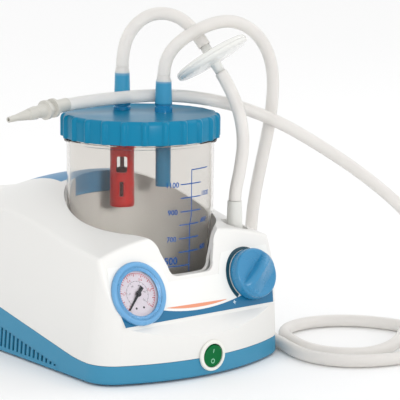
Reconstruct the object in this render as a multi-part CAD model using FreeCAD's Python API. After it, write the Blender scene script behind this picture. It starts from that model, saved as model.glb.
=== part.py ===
import FreeCAD, Part
import math
import os

from FreeCAD import Placement, Rotation, Vector

# Portable suction pump with a one-litre collection jar standing in a well at its front.
# Millimetres. +Z is up, the front panel faces -Y, and the origin is on the floor under the
# middle of the case.

# ---------------------------------------------------------------- driving dimensions
CASE_LENGTH = 350.0
CASE_HALF_WIDTH = 90.0
CASE_BOTTOM_Z = 1.5
CASE_WALL = 2.8
SIDE_DRAFT = 0.08            # inward lean of the side walls, per unit of height
FRONT_BOW_RADIUS = 171.0     # plan radius of the bowed front
FRONT_CORNER_RADIUS = 25.0
REAR_CORNER_RADIUS = 28.0
CASE_EDGE_RADIUS = 4.0
LOFT_TOP_Z = 150.0

FRONT_Y = -CASE_LENGTH / 2.0
REAR_Y = CASE_LENGTH / 2.0
JAR_Y = FRONT_Y + 91.5       # the jar stands behind the front panel, on the centre line

# top skin: two side ridges and a hump behind the jar, each a bell curve along Y
RIDGE_X = 82.0
RIDGE_LOW_Z = 92.0
RIDGE_RISE = 20.5
RIDGE_PEAK_Y = JAR_Y + 68.0
RIDGE_REACH = (85.0, 110.0)  # ahead of the peak, behind it
HUMP_LOW = 3.0
HUMP_RISE = 22.0
HUMP_PEAK_Y = JAR_Y + 60.0
HUMP_REACH = (110.0, 80.0)
CROWN_POWER = 2.5

# front face: a skirt, a sloping ledge above it and the inclined panel
SKIRT_TOP_Z = 33.0
PANEL_FOOT_Y = FRONT_Y + 13.5
PANEL_FOOT_Z = 42.5
PANEL_RUN = 20.0
PANEL_RISE = 53.0
PANEL_ANGLE = math.atan2(PANEL_RUN, PANEL_RISE)

# parting line between the white shell and the blue tray
SPLIT_FRONT_Z = 16.0
SPLIT_KNEE_Y = -123.5
SPLIT_SLOPE = 0.185
SPLIT_KNEE_RADIUS = 150.0
SPLIT_GROOVE = 0.3

VENT_PITCH = 5.7
VENT_WIDTH = 2.7
VENT_FIRST_Y = -94.5
VENT_COUNT = 42
VENT_BOTTOM_Z = 4.8
VENT_RECESS = 1.2
VENT_LINE_DROP = 13.8        # height of the plain band between parting line and vents

WELL_RADIUS = 59.5
WELL_FLOOR_Z = 24.0
WINDOW_SILL_Z = 74.5
WINDOW_HALF_WIDTH = 21.0

SCREW_POSTS = [(-77.0, -70.0), (77.0, -70.0), (-72.0, 128.0), (72.0, 128.0)]
FEET = [(-68.0, -118.0), (68.0, -118.0), (-66.0, 146.0), (66.0, 146.0)]
FOOT_RADIUS = 9.0

JAR_RADIUS = 57.2
JAR_FOOT_RADIUS = 54.3
JAR_WALL = 2.2
JAR_TOP_Z = 186.0
JAR_STEP_Z = 114.0

LID_RADIUS = 60.6
LID_TOP_Z = 191.0
LID_SKIRT_Z = 173.0
LID_RIB_COUNT = 24
LID_RIB_RADIUS = 2.3
LID_RIB_PHASE = 0.72           # turn of the first rib, as a share of the rib spacing

VACUUM_PORT = Vector(3.0, JAR_Y + 28.0, 0.0)
PATIENT_PORT = Vector(19.6, JAR_Y - 3.6, 0.0)
VACUUM_NOZZLE_TOP_Z = 219.0
PATIENT_NOZZLE_TOP_Z = 214.0
INLET_PORT = Vector(62.0, JAR_Y - 41.0, 0.0)
INLET_TOP_Z = 121.0
CAGE_BOTTOM_Z = 113.5
DROP_TUBE_BOTTOM_Z = 132.0

GAUGE_X = -54.5
GAUGE_Z = 66.7
KNOB_X = 54.5
KNOB_Z = 67.3
SWITCH_X = -1.5
SWITCH_Z = 16.6
SWITCH_AXIS = Vector(0, 1, 0)
SWITCH_TILT = 6.0              # lean of the rocker to either side of square, in degrees
ROCKER_PIVOT_Y = FRONT_Y + 0.4
FLANGE_PROUD = 2.0             # how far the switch and mains inlet flanges stand out

HANDLE_HALF_WIDTH = 38.0
HANDLE_FRONT_Y = JAR_Y + 59.0
HANDLE_REAR_Y = JAR_Y + 98.0
HANDLE_UNDERSIDE_Z = 120.5
POCKET_HALF_WIDTH = 34.0
POCKET_FRONT_Y = JAR_Y + 76.0
POCKET_REAR_Y = JAR_Y + 132.0
POCKET_FLOOR_Z = 88.0

INLET_X = 44.0               # mains inlet on the rear wall
INLET_Z = 34.0

HOSE_RADIUS = 5.0
HOSE_BORE = 3.0

MOTOR_X = -12.0              # middle of the lamination stack
MOTOR_Y = 92.0
MOTOR_Z = 46.0
CRANK_X = 34.0
CRANK_THROW = 5.0
ROD_LENGTH = 44.0
CYLINDER_BORE = 15.0
SHAFT_AXIS = Vector(1, 0, 0)
SHAFT_RADIUS = 3.0
ROTOR_RADIUS = 19.6
STATOR_BORE = 20.0
STACK_HALF = 17.0            # half thickness of the lamination stack
BRIDGE_XS = (MOTOR_X - STACK_HALF - 12, MOTOR_X + STACK_HALF + 12)
CYLINDER_AXIS = Vector(0, -1, 0)
BIG_END_Y = MOTOR_Y
SMALL_END_Y = MOTOR_Y - ROD_LENGTH
PISTON_LENGTH = 29.0
PISTON_SKIRT_Y = SMALL_END_Y + 11.0
CROWN_Y = PISTON_SKIRT_Y - PISTON_LENGTH
HEAD_Y = CROWN_Y - 6.6
MOUNT_SPOTS = [(MOTOR_X - 24, 8.0), (CRANK_X + 26, 8.0), (MOTOR_X - 24, 126.0),
               (CRANK_X + 26, 126.0)]

FILTER_CENTRE = Vector(54.0, -104.0, 232.0)
FILTER_AXIS = Vector(0.30, -0.47, -0.83).normalize()
FILTER_RADIUS = 31.0

# hose routes: points set by hand, joined by straight runs with a tangent arc at each point
VACUUM_HOSE = [
    (3, -55.5, 219), (3, -55.5, 236.5), (10.5, -59.5, 252), (23, -68, 261.5),
    (36.5, -79.5, 262), (46.5, -91, 253.5), (50.7, -98.8, 241.1),
]
FILTER_HOSE = [
    (58.05, -110.35, 220.8), (62, -117, 209), (66.5, -124, 190), (67.5, -127.5, 168),
    (62, -124.5, 144.5), (62, -124.5, 121.3),
]
PATIENT_HOSE = [
    (19.6, -87.1, 214), (19.6, -87.1, 230), (25.3, -92.7, 245.5), (37.5, -100.5, 256.5),
    (55, -104.5, 264), (74, -105.5, 265.5), (92, -107, 258), (106, -109, 242),
    (113, -110.5, 217), (112, -110, 188), (107, -108.5, 160), (102, -105.5, 132),
    (98.5, -103, 104), (98, -102, 76), (98.8, -102.5, 53), (98.5, -104, 33),
    (98.7, -109.3, 20.3), (98.6, -119, 10.5), (97.8, -131.8, 5.2), (94.5, -148, 5.2),
    (87.5, -167, 5.2), (84, -189, 5.2), (91, -210, 5.2), (106, -225, 5.2),
    (127, -234.5, 5.2), (151, -237, 5.2), (175, -234, 5.2), (197, -222, 5.2),
    (211, -202, 5.2), (215, -179, 5.2), (211, -155, 5.2), (200, -132, 5.2),
    (181, -114.5, 5.2), (156, -107, 5.2), (132, -111, 5.2), (115, -125, 5.2),
    (106, -146, 5.2), (99.5, -168, 5.2), (101.8, -187, 5.2), (111.6, -202, 5.2),
    (127, -211.3, 5.2), (145.5, -212.5, 6), (166, -206, 8), (185, -194, 11.5),
    (204, -184.5, 20.5), (219, -178, 38), (226, -173, 60), (223, -170, 83),
    (211, -168, 101), (194, -164, 116.5), (168, -153.5, 138.5), (134, -137.5, 163),
    (106, -122, 181), (80, -103.5, 194), (56, -87.5, 201), (34, -78, 204),
    (11, -70, 204.5), (-12, -62, 203), (-34, -56.5, 200.5), (-54, -60.5, 198.5),
]
INNER_LINE = [
    (62, -124.5, 81.9), (62, -124.5, 68), (63.5, -117, 56), (66, -103, 48.5), (67.5, -84, 45),
    (69, -56, 43), (68, -30, 42), (56, -12, 42), (CRANK_X + 14.5, -4.5, 44),
]


# ---------------------------------------------------------------- small helpers
def box(low, high):
    size = Vector(*high).sub(Vector(*low))
    return Part.makeBox(size.x, size.y, size.z, Vector(*low))


def cylinder(radius, base, height, direction=Vector(0, 0, 1)):
    return Part.makeCylinder(radius, height, base, direction)


def tube(outer, inner, base, height, direction=Vector(0, 0, 1)):
    return cylinder(outer, base, height, direction).cut(cylinder(inner, base, height, direction))


def turned(profile, base=Vector(0, 0, 0), sweep=360.0):
    """Solid of revolution about Z of closed (radius, height) points."""
    points = [Vector(radius, 0, height) for radius, height in profile]
    face = Part.Face(Part.makePolygon(points + [points[0]]))
    solid = face.revolve(Vector(0, 0, 0), Vector(0, 0, 1), sweep)
    solid.translate(base)
    return solid


def side_prism(profile, half_width=150.0):
    """Closed (y, z) outline extruded across the case."""
    points = [Vector(-half_width, y, z) for y, z in profile]
    face = Part.Face(Part.makePolygon(points + [points[0]]))
    return face.extrude(Vector(2 * half_width, 0, 0))


def arc(start, middle, end):
    return Part.Arc(Vector(*start), Vector(*middle), Vector(*end)).toShape()


def line(start, end):
    return Part.LineSegment(Vector(*start), Vector(*end)).toShape()


def rounded(shape, radius, chosen):
    """Fillet the edges whose middle point passes the test."""
    edges = []
    for edge in shape.Edges:
        middle = edge.valueAt((edge.FirstParameter + edge.LastParameter) / 2.0)
        if chosen(middle):
            edges.append(edge)
    return shape.makeFillet(radius, edges)


def bell(distance, reach):
    """Bell curve that is 1 at distance 0, with a different reach on each side."""
    width = reach[0] if distance < 0 else reach[1]
    return math.exp(-((distance / width) ** 2))


def about(axis, base):
    """Placement that stands a shape made along +Z on the base, pointing along the axis."""
    return Placement(base, Rotation(Vector(0, 0, 1), axis))


def placed(shape, placement):
    copy = shape.copy()
    copy.Placement = placement.multiply(copy.Placement)
    return copy


def on_panel(x, z):
    """Placement on the inclined panel: local Z points out of it, local Y up along it."""
    y = PANEL_FOOT_Y + (z - PANEL_FOOT_Z) * math.tan(PANEL_ANGLE)
    turn = Rotation(Vector(1, 0, 0), 90.0 - math.degrees(PANEL_ANGLE))
    return Placement(Vector(x, y, z), turn)


def group(shapes):
    return Part.makeCompound(shapes)


def merged(shapes):
    result = shapes[0].fuse(shapes[1:])
    return result.removeSplitter()


def hose_path(points):
    """Wire of straight runs and tangent arcs through the hand-set points; also its radii."""
    corners = [Vector(*point) for point in points]
    edges = []
    radii = []
    start = corners[0]
    for before, corner, after in zip(corners, corners[1:], corners[2:]):
        back = before.sub(corner)
        ahead = after.sub(corner)
        half_turn = (math.pi - back.getAngle(ahead)) / 2.0
        reach = 0.45 * min(back.Length, ahead.Length)
        radius = reach / math.tan(half_turn)
        entry = corner.add(Vector(back).normalize().multiply(reach))
        leave = corner.add(Vector(ahead).normalize().multiply(reach))
        middle_line = Vector(back).normalize().add(Vector(ahead).normalize()).normalize()
        sagitta = radius / math.cos(half_turn) - radius
        middle = corner.add(middle_line.multiply(sagitta))
        edges.append(Part.LineSegment(start, entry).toShape())
        edges.append(Part.Arc(entry, middle, leave).toShape())
        radii.append(radius)
        start = leave
    edges.append(Part.LineSegment(start, corners[-1]).toShape())
    return Part.Wire(edges), radii


def hose(name, points, radius=HOSE_RADIUS, bore=HOSE_BORE):
    path, radii = hose_path(points)
    first = Vector(*points[0])
    direction = Vector(*points[1]).sub(first)
    skin = path.makePipeShell([Part.Wire(Part.makeCircle(radius, first, direction))], True, False)
    core = path.makePipeShell([Part.Wire(Part.makeCircle(bore, first, direction))], True, False)
    solid = skin.cut(core)
    expected = math.pi * (radius ** 2 - bore ** 2) * path.Length
    print(name, "length", round(path.Length), "volume ratio", round(solid.Volume / expected, 4))
    print("   radii", [round(value) for value in radii])
    return solid


# ---------------------------------------------------------------- case outline
def drafted_block(inset, bottom_z):
    """Tall block with the case's plan: bowed front, leaning sides, rounded corners."""
    half = CASE_HALF_WIDTH - inset
    low_half = half - SIDE_DRAFT * bottom_z
    high_half = half - SIDE_DRAFT * LOFT_TOP_Z
    ahead_y = FRONT_Y - 55.0
    section = [Vector(-low_half, ahead_y, bottom_z), Vector(low_half, ahead_y, bottom_z),
               Vector(high_half, ahead_y, LOFT_TOP_Z), Vector(-high_half, ahead_y, LOFT_TOP_Z)]
    face = Part.Face(Part.makePolygon(section + [section[0]]))
    block = face.extrude(Vector(0, REAR_Y - inset - ahead_y, 0))
    bow = FRONT_BOW_RADIUS - inset
    bow_centre = Vector(0, FRONT_Y + inset + bow, bottom_z - 5)
    behind = box((-120, 0, bottom_z - 5), (120, REAR_Y + 10, 200))
    block = block.common(cylinder(bow, bow_centre, 200).fuse(behind))

    def upright(p):
        return bottom_z + 5 < p.z < LOFT_TOP_Z - 5 and abs(p.x) > 60

    block = rounded(block, FRONT_CORNER_RADIUS - inset, lambda p: upright(p) and p.y < -100)
    return rounded(block, REAR_CORNER_RADIUS - inset,
                   lambda p: upright(p) and p.y > REAR_Y - inset - 1)


def skin_height(x, y):
    """Height of the top skin: the side ridges plus a crown that swells behind the jar."""
    ridge = RIDGE_LOW_Z + RIDGE_RISE * bell(y - RIDGE_PEAK_Y, RIDGE_REACH)
    crown = HUMP_LOW + HUMP_RISE * bell(y - HUMP_PEAK_Y, HUMP_REACH)
    return ridge + crown * (1.0 - abs(x / RIDGE_X) ** CROWN_POWER)


def above_skin(drop):
    """Everything above the top skin lowered by drop."""
    across = [-105, -82, -58, -34, -12, 12, 34, 58, 82, 105]
    along = range(-200, 221, 30)
    grid = [[Vector(x, y, skin_height(x, y) - drop) for y in along] for x in across]
    surface = Part.BSplineSurface()
    surface.interpolate(grid)
    return surface.toShape().extrude(Vector(0, 0, 140))


def before_panel(setback):
    """Everything in front of the ledge and the inclined panel, moved back by setback."""
    shift = setback / math.cos(PANEL_ANGLE)
    top_z = 170.0
    top_y = PANEL_FOOT_Y + (top_z - PANEL_FOOT_Z) * math.tan(PANEL_ANGLE)
    return side_prism([
        (-230.0, SKIRT_TOP_Z - setback),
        (FRONT_Y + setback, SKIRT_TOP_Z - setback),
        (PANEL_FOOT_Y + shift - setback * math.tan(PANEL_ANGLE), PANEL_FOOT_Z - setback),
        (top_y + shift, top_z),
        (-230.0, top_z),
    ])


def case_solid(inset=0.0, bottom_z=CASE_BOTTOM_Z):
    block = drafted_block(inset, bottom_z)
    return block.cut(above_skin(inset)).cut(before_panel(inset))


def rounded_case():
    """Outer case with its ridges, panel edges and rear edge softened."""
    return rounded(case_solid(), CASE_EDGE_RADIUS, lambda p: p.z > 60)


def split_height(y):
    return SPLIT_FRONT_Z + max(0.0, SPLIT_SLOPE * (y - SPLIT_KNEE_Y))


def above_split(lift):
    """Everything above the parting line raised by lift; the line bends round a wide arc."""
    slope_angle = math.atan(SPLIT_SLOPE)
    reach = SPLIT_KNEE_RADIUS * math.tan(slope_angle / 2.0)
    entry = (SPLIT_KNEE_Y - reach, SPLIT_FRONT_Z + lift)
    leave = (SPLIT_KNEE_Y + reach * math.cos(slope_angle),
             SPLIT_FRONT_Z + reach * math.sin(slope_angle) + lift)
    middle = (entry[0] + SPLIT_KNEE_RADIUS * math.sin(slope_angle / 2.0),
              entry[1] + SPLIT_KNEE_RADIUS * (1.0 - math.cos(slope_angle / 2.0)))
    end_y = 230.0
    end_z = split_height(end_y) + lift
    half = 150.0
    edges = [
        line((-half, -230.0, entry[1]), (-half, *entry)),
        arc((-half, *entry), (-half, *middle), (-half, *leave)),
        line((-half, *leave), (-half, end_y, end_z)),
        line((-half, end_y, end_z), (-half, end_y, 200.0)),
        line((-half, end_y, 200.0), (-half, -230.0, 200.0)),
        line((-half, -230.0, 200.0), (-half, -230.0, entry[1])),
    ]
    return Part.Face(Part.Wire(edges)).extrude(Vector(2 * half, 0, 0))


# ---------------------------------------------------------------- case parts
def base_tray():
    inside = case_solid(CASE_WALL, CASE_BOTTOM_Z + CASE_WALL)
    tray = outer_case.cut(above_split(-SPLIT_GROOVE)).cut(inside)
    tray = rounded(tray, 2.2, lambda p: abs(p.z - CASE_BOTTOM_Z) < 0.01)
    vent_start_y = VENT_FIRST_Y - 6.0
    wedge = side_prism([
        (vent_start_y, -1.0),
        (vent_start_y, split_height(vent_start_y) - VENT_LINE_DROP),
        (REAR_Y - REAR_CORNER_RADIUS, split_height(REAR_Y - REAR_CORNER_RADIUS)
         - VENT_LINE_DROP),
        (REAR_Y - REAR_CORNER_RADIUS, -1.0),
    ])
    tray = tray.cut(wedge.cut(drafted_block(VENT_RECESS, -2.0)))
    slots = []
    for index in range(VENT_COUNT):
        y = VENT_FIRST_Y + index * VENT_PITCH
        top_z = split_height(y) - VENT_LINE_DROP - 1.5
        slots.append(box((-120, y, VENT_BOTTOM_Z), (120, y + VENT_WIDTH, top_z)))
    tray = tray.cut(slots)
    posts = []
    for x, y in SCREW_POSTS:
        height = split_height(y) - CASE_BOTTOM_Z - 2.0
        posts.append(tube(4.5, 1.8, Vector(x, y, CASE_BOTTOM_Z + 1.0), height))
    tray = merged([tray] + posts)
    tray = tray.cut([cylinder(1.8, Vector(x, y, 0), 30) for x, y in SCREW_POSTS])
    tray = tray.cut([cylinder(3.6, Vector(x, y, 0), 3.4) for x, y in SCREW_POSTS])
    tray = tray.cut([cylinder(4.0, Vector(x, y, 0), 8) for x, y in FEET])
    tray = tray.cut(switch_hole())
    return tray.cut(mains_cutout())


def rubber_feet():
    feet = []
    for x, y in FEET:
        pad = turned([(0, 0), (FOOT_RADIUS - 1, 0), (FOOT_RADIUS, 1.0), (FOOT_RADIUS, 1.5),
                      (3.9, 1.5), (3.9, 4.5), (0, 4.5)], Vector(x, y, 0))
        feet.append(pad)
    return group(feet)


def housing_screws():
    screws = []
    for x, y in SCREW_POSTS:
        length = split_height(y) + 6.0
        head = cylinder(3.2, Vector(x, y, 1.4), 2.0)
        shank = cylinder(1.5, Vector(x, y, 3.4), length - 3.4)
        drive = box((x - 2.2, y - 0.4, 1.0), (x + 2.2, y + 0.4, 2.4))
        drive_across = box((x - 0.4, y - 2.2, 1.0), (x + 0.4, y + 2.2, 2.4))
        screws.append(head.fuse(shank).cut(drive).cut(drive_across))
    return group(screws)


def window_cutter():
    """U-shaped notch that shows the jar: a flat sill, steep sides and flared shoulders."""
    sill = WINDOW_SILL_Z
    half = WINDOW_HALF_WIDTH
    far_y = JAR_Y - 14.0
    near_y = FRONT_Y - 20.0

    def side(sign):
        return [
            arc((sign * (half - 7), near_y, sill), (sign * (half - 1.6), near_y, sill + 2.2),
                (sign * (half + 0.6), near_y, sill + 7.5)),
            line((sign * (half + 0.6), near_y, sill + 7.5), (sign * 26.0, near_y, 93.0)),
            arc((sign * 26.0, near_y, 93.0), (sign * 30.5, near_y, 101.5),
                (sign * 40.0, near_y, 105.5)),
            line((sign * 40.0, near_y, 105.5), (sign * 40.0, near_y, 160.0)),
        ]

    edges = side(1) + side(-1)
    edges.append(line((-(half - 7), near_y, sill), (half - 7, near_y, sill)))
    edges.append(line((-40.0, near_y, 160.0), (40.0, near_y, 160.0)))
    outline = Part.Wire(Part.__sortEdges__(edges))
    return Part.Face(outline).extrude(Vector(0, far_y - near_y, 0))


def switch_hole():
    return cylinder(10.2, Vector(SWITCH_X, FRONT_Y - 10, SWITCH_Z), 22, Vector(0, 1, 0))


def mains_cutout():
    return box((INLET_X - 13.6, REAR_Y - 8, INLET_Z - 19.6),
               (INLET_X + 13.6, REAR_Y + 8, INLET_Z + 19.6))


def top_shell():
    well_wall = cylinder(WELL_RADIUS + CASE_WALL, Vector(0, JAR_Y, WELL_FLOOR_Z - CASE_WALL), 140)
    port_cup = cylinder(13.2, INLET_PORT.add(Vector(0, 0, 82)), 60)
    saddle = box((-HANDLE_HALF_WIDTH - 3, HANDLE_FRONT_Y - 4, HANDLE_UNDERSIDE_Z - 3),
                 (HANDLE_HALF_WIDTH + 3, HANDLE_REAR_Y + 3, 160))
    pocket_wall = box((-POCKET_HALF_WIDTH - CASE_WALL, POCKET_FRONT_Y - CASE_WALL,
                       POCKET_FLOOR_Z - CASE_WALL),
                      (POCKET_HALF_WIDTH + CASE_WALL, POCKET_REAR_Y + CASE_WALL, 160))
    skin = outer_case.common(above_split(0.0))
    hollow = case_solid(CASE_WALL, CASE_BOTTOM_Z + CASE_WALL)
    posts = [cylinder(4.5, Vector(x, y, split_height(y) - 0.5), 120) for x, y in SCREW_POSTS]
    inside = merged([well_wall, port_cup, saddle, pocket_wall] + posts).common(skin)
    shell = merged([skin.cut(hollow), inside])
    shell = shell.cut(cylinder(WELL_RADIUS, Vector(0, JAR_Y, WELL_FLOOR_Z), 140))
    shell = shell.cut(window_cutter())
    shell = shell.cut(box((-HANDLE_HALF_WIDTH - 0.2, HANDLE_FRONT_Y - 6, HANDLE_UNDERSIDE_Z - 0.2),
                          (HANDLE_HALF_WIDTH + 0.2, HANDLE_REAR_Y + 0.2, 170)))
    pocket = box((-POCKET_HALF_WIDTH, POCKET_FRONT_Y, POCKET_FLOOR_Z),
                 (POCKET_HALF_WIDTH, POCKET_REAR_Y, 170))
    pocket = rounded(pocket, 6.0, lambda p: p.z < 160 and p.y > POCKET_REAR_Y - 1)
    shell = shell.cut(pocket)
    shell = shell.cut(cylinder(10.6, INLET_PORT.add(Vector(0, 0, 90)), 60))
    shell = shell.cut(cylinder(5.1, INLET_PORT.add(Vector(0, 0, 70)), 60))
    shell = shell.cut(placed(cylinder(21.3, Vector(0, 0, -12), 24), on_panel(GAUGE_X, GAUGE_Z)))
    shell = shell.cut(placed(cylinder(7.7, Vector(0, 0, -12), 24), on_panel(KNOB_X, KNOB_Z)))
    shell = shell.cut(switch_hole())
    shell = shell.cut(mains_cutout())
    pilot_holes = [cylinder(1.5, Vector(x, y, 0), split_height(y) + 7) for x, y in SCREW_POSTS]
    return shell.cut(pilot_holes)


def carry_handle():
    bar = outer_case.common(box((-HANDLE_HALF_WIDTH, HANDLE_FRONT_Y - 6, HANDLE_UNDERSIDE_Z),
                                (HANDLE_HALF_WIDTH, HANDLE_REAR_Y, 170)))
    bar = bar.cut(cylinder(WELL_RADIUS, Vector(0, JAR_Y, WELL_FLOOR_Z), 140))
    return rounded(bar, 2.0, lambda p: abs(p.y - HANDLE_REAR_Y) < 0.1 and abs(p.x) < 30)


def panel_label():
    """Thin printed sheet on the inclined panel, notched round the window."""
    outline = [(-72, 2.2), (72, 2.2), (78.5, 32), (77, 48), (45, 48), (31, 47), (27.5, 40),
               (24.5, 31), (-24.5, 31), (-27.5, 40), (-31, 47), (-45, 48), (-77, 48),
               (-78.5, 32)]
    points = [Vector(x, v, 0.0) for x, v in outline]
    sheet = Part.Face(Part.makePolygon(points + [points[0]])).extrude(Vector(0, 0, 0.35))
    sheet = placed(sheet, on_panel(0.0, PANEL_FOOT_Z))
    sheet = sheet.cut(placed(cylinder(21.5, Vector(0, 0, -2), 4), on_panel(GAUGE_X, GAUGE_Z)))
    sheet = sheet.cut(placed(cylinder(7.9, Vector(0, 0, -2), 4), on_panel(KNOB_X, KNOB_Z)))
    return sheet


# ---------------------------------------------------------------- vacuum gauge
def gauge_part(shape):
    return placed(shape, on_panel(GAUGE_X, GAUGE_Z))


def gauge_case():
    cup = turned([(0, -12), (21, -12), (21, 0.4), (19.8, 0.4), (19.8, -10.6), (0, -10.6)])
    stem = cylinder(4.5, Vector(0, 0, -24), 12)
    barb = turned([(0, -26), (2.6, -26), (5.2, -23), (4.2, -21), (0, -21)])
    return gauge_part(merged([cup, stem, barb]))


def gauge_bezel():
    ring = turned([(19.8, 0.5), (24, 0.5), (24, 3.6), (23.2, 4.9), (21.8, 5.4), (20.2, 5.2),
                   (18.7, 3.9), (18.7, 3.7), (19.8, 3.7)])
    return gauge_part(ring)


def gauge_glass():
    return gauge_part(cylinder(19.6, Vector(0, 0, 2.6), 1.0))


def gauge_dial():
    return gauge_part(tube(19.5, 1.4, Vector(0, 0, -1.2), 0.6))


def gauge_needle():
    """Needle at rest on the zero mark, lower left; a thin point and a thick tail."""
    blade = [Vector(-0.5, -15.5, 0), Vector(0.5, -15.5, 0), Vector(1.0, 0, 0),
             Vector(1.7, 6.5, 0), Vector(-1.7, 6.5, 0), Vector(-1.0, 0, 0)]
    plate = Part.Face(Part.makePolygon(blade + [blade[0]])).extrude(Vector(0, 0, 0.5))
    plate.translate(Vector(0, 0, 0.6))
    hub = cylinder(2.2, Vector(0, 0, 0.4), 1.2)
    staff = cylinder(0.9, Vector(0, 0, -5.4), 6.0)
    needle = merged([plate, hub, staff])
    needle.rotate(Vector(0, 0, 0), Vector(0, 0, 1), -44.0)
    return gauge_part(needle)


def bourdon_tube():
    ring = turned([(13, -9.8), (15, -9.8), (15, -6.2), (13, -6.2)], sweep=255.0)
    socket = box((3.5, -16.5, -10.5), (10, -11.5, -5.8))
    return gauge_part(merged([ring, socket]))


def gauge_movement():
    plate = tube(8.0, 0.95, Vector(0, 0, -6.6), 1.2)
    legs = [cylinder(0.9, Vector(6.2 * math.cos(a), 6.2 * math.sin(a), -10.5), 4.0)
            for a in (0.6, 2.7, 4.8)]
    return gauge_part(merged([plate] + legs))


# ---------------------------------------------------------------- vacuum regulator
def knob_part(shape):
    return placed(shape, on_panel(KNOB_X, KNOB_Z))


def regulator_knob():
    """Round knob with a lens-shaped grip fin across its face."""
    skirt = turned([(0, 1.2), (20, 1.2), (20, 2.6), (19.4, 8.4), (17.6, 10.2), (0, 10.6)])
    lens_radius = 25.0
    half_thickness = 7.0
    offset = lens_radius - half_thickness
    left = cylinder(lens_radius, Vector(0, -offset, 8), 10.4)
    right = cylinder(lens_radius, Vector(0, offset, 8), 10.4)
    fin = rounded(left.common(right), 2.4, lambda p: p.z > 18)
    fin.rotate(Vector(0, 0, 0), Vector(0, 0, 1), 40.0)
    bore = cylinder(3.0, Vector(0, 0, 0), 9.0)
    return knob_part(merged([skirt, fin]).cut(bore))


def regulator_spindle():
    return knob_part(merged([cylinder(3.0, Vector(0, 0, -17), 26.0),
                             cylinder(1.4, Vector(0, 0, -21), 4.5)]))


def regulator_valve():
    body = cylinder(7.4, Vector(0, 0, -24), 23.6)
    flange = tube(10.5, 3.06, Vector(0, 0, -4.4), 1.4)
    bore = cylinder(3.06, Vector(0, 0, -18), 20)
    seat = cylinder(1.8, Vector(0, 0, -22), 6)
    outlet = tube(2.6, 1.4, Vector(0, 0, -30), 7.0)
    return knob_part(merged([body, flange]).cut(bore).cut(seat).fuse(outlet).removeSplitter())


# ---------------------------------------------------------------- mains switch
def switch_bezel():
    front_y = FRONT_Y - FLANGE_PROUD
    flange = Part.makeCylinder(11.85, 1.9, Vector(SWITCH_X, front_y, SWITCH_Z), SWITCH_AXIS)
    flange = rounded(flange, 0.9, lambda p: abs(p.y - front_y) < 0.01)
    sleeve = cylinder(10.0, Vector(SWITCH_X, FRONT_Y - 0.5, SWITCH_Z), 8.0, SWITCH_AXIS)
    opening = cylinder(9.2, Vector(SWITCH_X, front_y - 1, SWITCH_Z), 12.0, SWITCH_AXIS)
    return merged([flange, sleeve]).cut(opening)


def switch_rocker():
    """Round rocker, dished a little along its middle, at rest with its lower half pressed."""
    disc = cylinder(8.5, Vector(SWITCH_X, ROCKER_PIVOT_Y - 2.6, SWITCH_Z), 5.2, SWITCH_AXIS)
    hollow_radius = 30.0
    dish = Part.makeCylinder(hollow_radius, 40.0,
                             Vector(SWITCH_X - 20, ROCKER_PIVOT_Y - 2.0 - hollow_radius, SWITCH_Z),
                             Vector(1, 0, 0))
    rocker = disc.cut(dish)
    rocker.rotate(Vector(SWITCH_X, ROCKER_PIVOT_Y, SWITCH_Z), Vector(1, 0, 0), SWITCH_TILT)
    return rocker


def switch_body():
    start_y = FRONT_Y + 7.8
    block = box((SWITCH_X - 7, start_y, SWITCH_Z - 7), (SWITCH_X + 7, start_y + 7, SWITCH_Z + 4.2))
    tabs = [box((SWITCH_X + x - 0.4, start_y + 6.5, SWITCH_Z - 5),
                (SWITCH_X + x + 0.4, start_y + 14, SWITCH_Z - 1)) for x in (-4.5, 0, 4.5)]
    return merged([block] + tabs)


# ---------------------------------------------------------------- pump inlet
def inlet_fitting():
    """Grey barbed port that stands in the recess beside the jar."""
    column = turned([(2.9, 82), (5.0, 82), (5.0, 90.1), (6.8, 90.1), (6.8, 93), (6.4, 96),
                     (5.75, INLET_TOP_Z), (2.9, INLET_TOP_Z)], INLET_PORT)
    return column


# ---------------------------------------------------------------- collection jar and lid
def collection_jar():
    """Clear jar: a narrower lower part, a soft step, a bead under the lid."""
    foot_z = WELL_FLOOR_Z + 0.3
    outside = [(0, foot_z + 1.2), (40, foot_z + 1.2), (42, foot_z), (JAR_FOOT_RADIUS - 4, foot_z),
               (JAR_FOOT_RADIUS - 1, foot_z + 1.0), (JAR_FOOT_RADIUS, foot_z + 4),
               (JAR_FOOT_RADIUS + 1.2, JAR_STEP_Z - 3), (JAR_RADIUS - 0.4, JAR_STEP_Z + 1.5),
               (JAR_RADIUS, JAR_STEP_Z + 5), (JAR_RADIUS + 0.2, 169.5), (59.6, 170.2),
               (59.6, 171.8), (JAR_RADIUS + 0.2, 172.2), (JAR_RADIUS + 0.2, JAR_TOP_Z)]
    inside = [(JAR_RADIUS - JAR_WALL + 0.2, JAR_TOP_Z), (JAR_RADIUS - JAR_WALL, JAR_STEP_Z + 5),
              (JAR_RADIUS - JAR_WALL - 0.4, JAR_STEP_Z + 1.5),
              (JAR_FOOT_RADIUS + 1.2 - JAR_WALL, JAR_STEP_Z - 3),
              (JAR_FOOT_RADIUS - JAR_WALL, foot_z + 6), (JAR_FOOT_RADIUS - 5, foot_z + 3.4),
              (0, foot_z + 3.4)]
    return turned(outside + inside, Vector(0, JAR_Y, 0))


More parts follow.
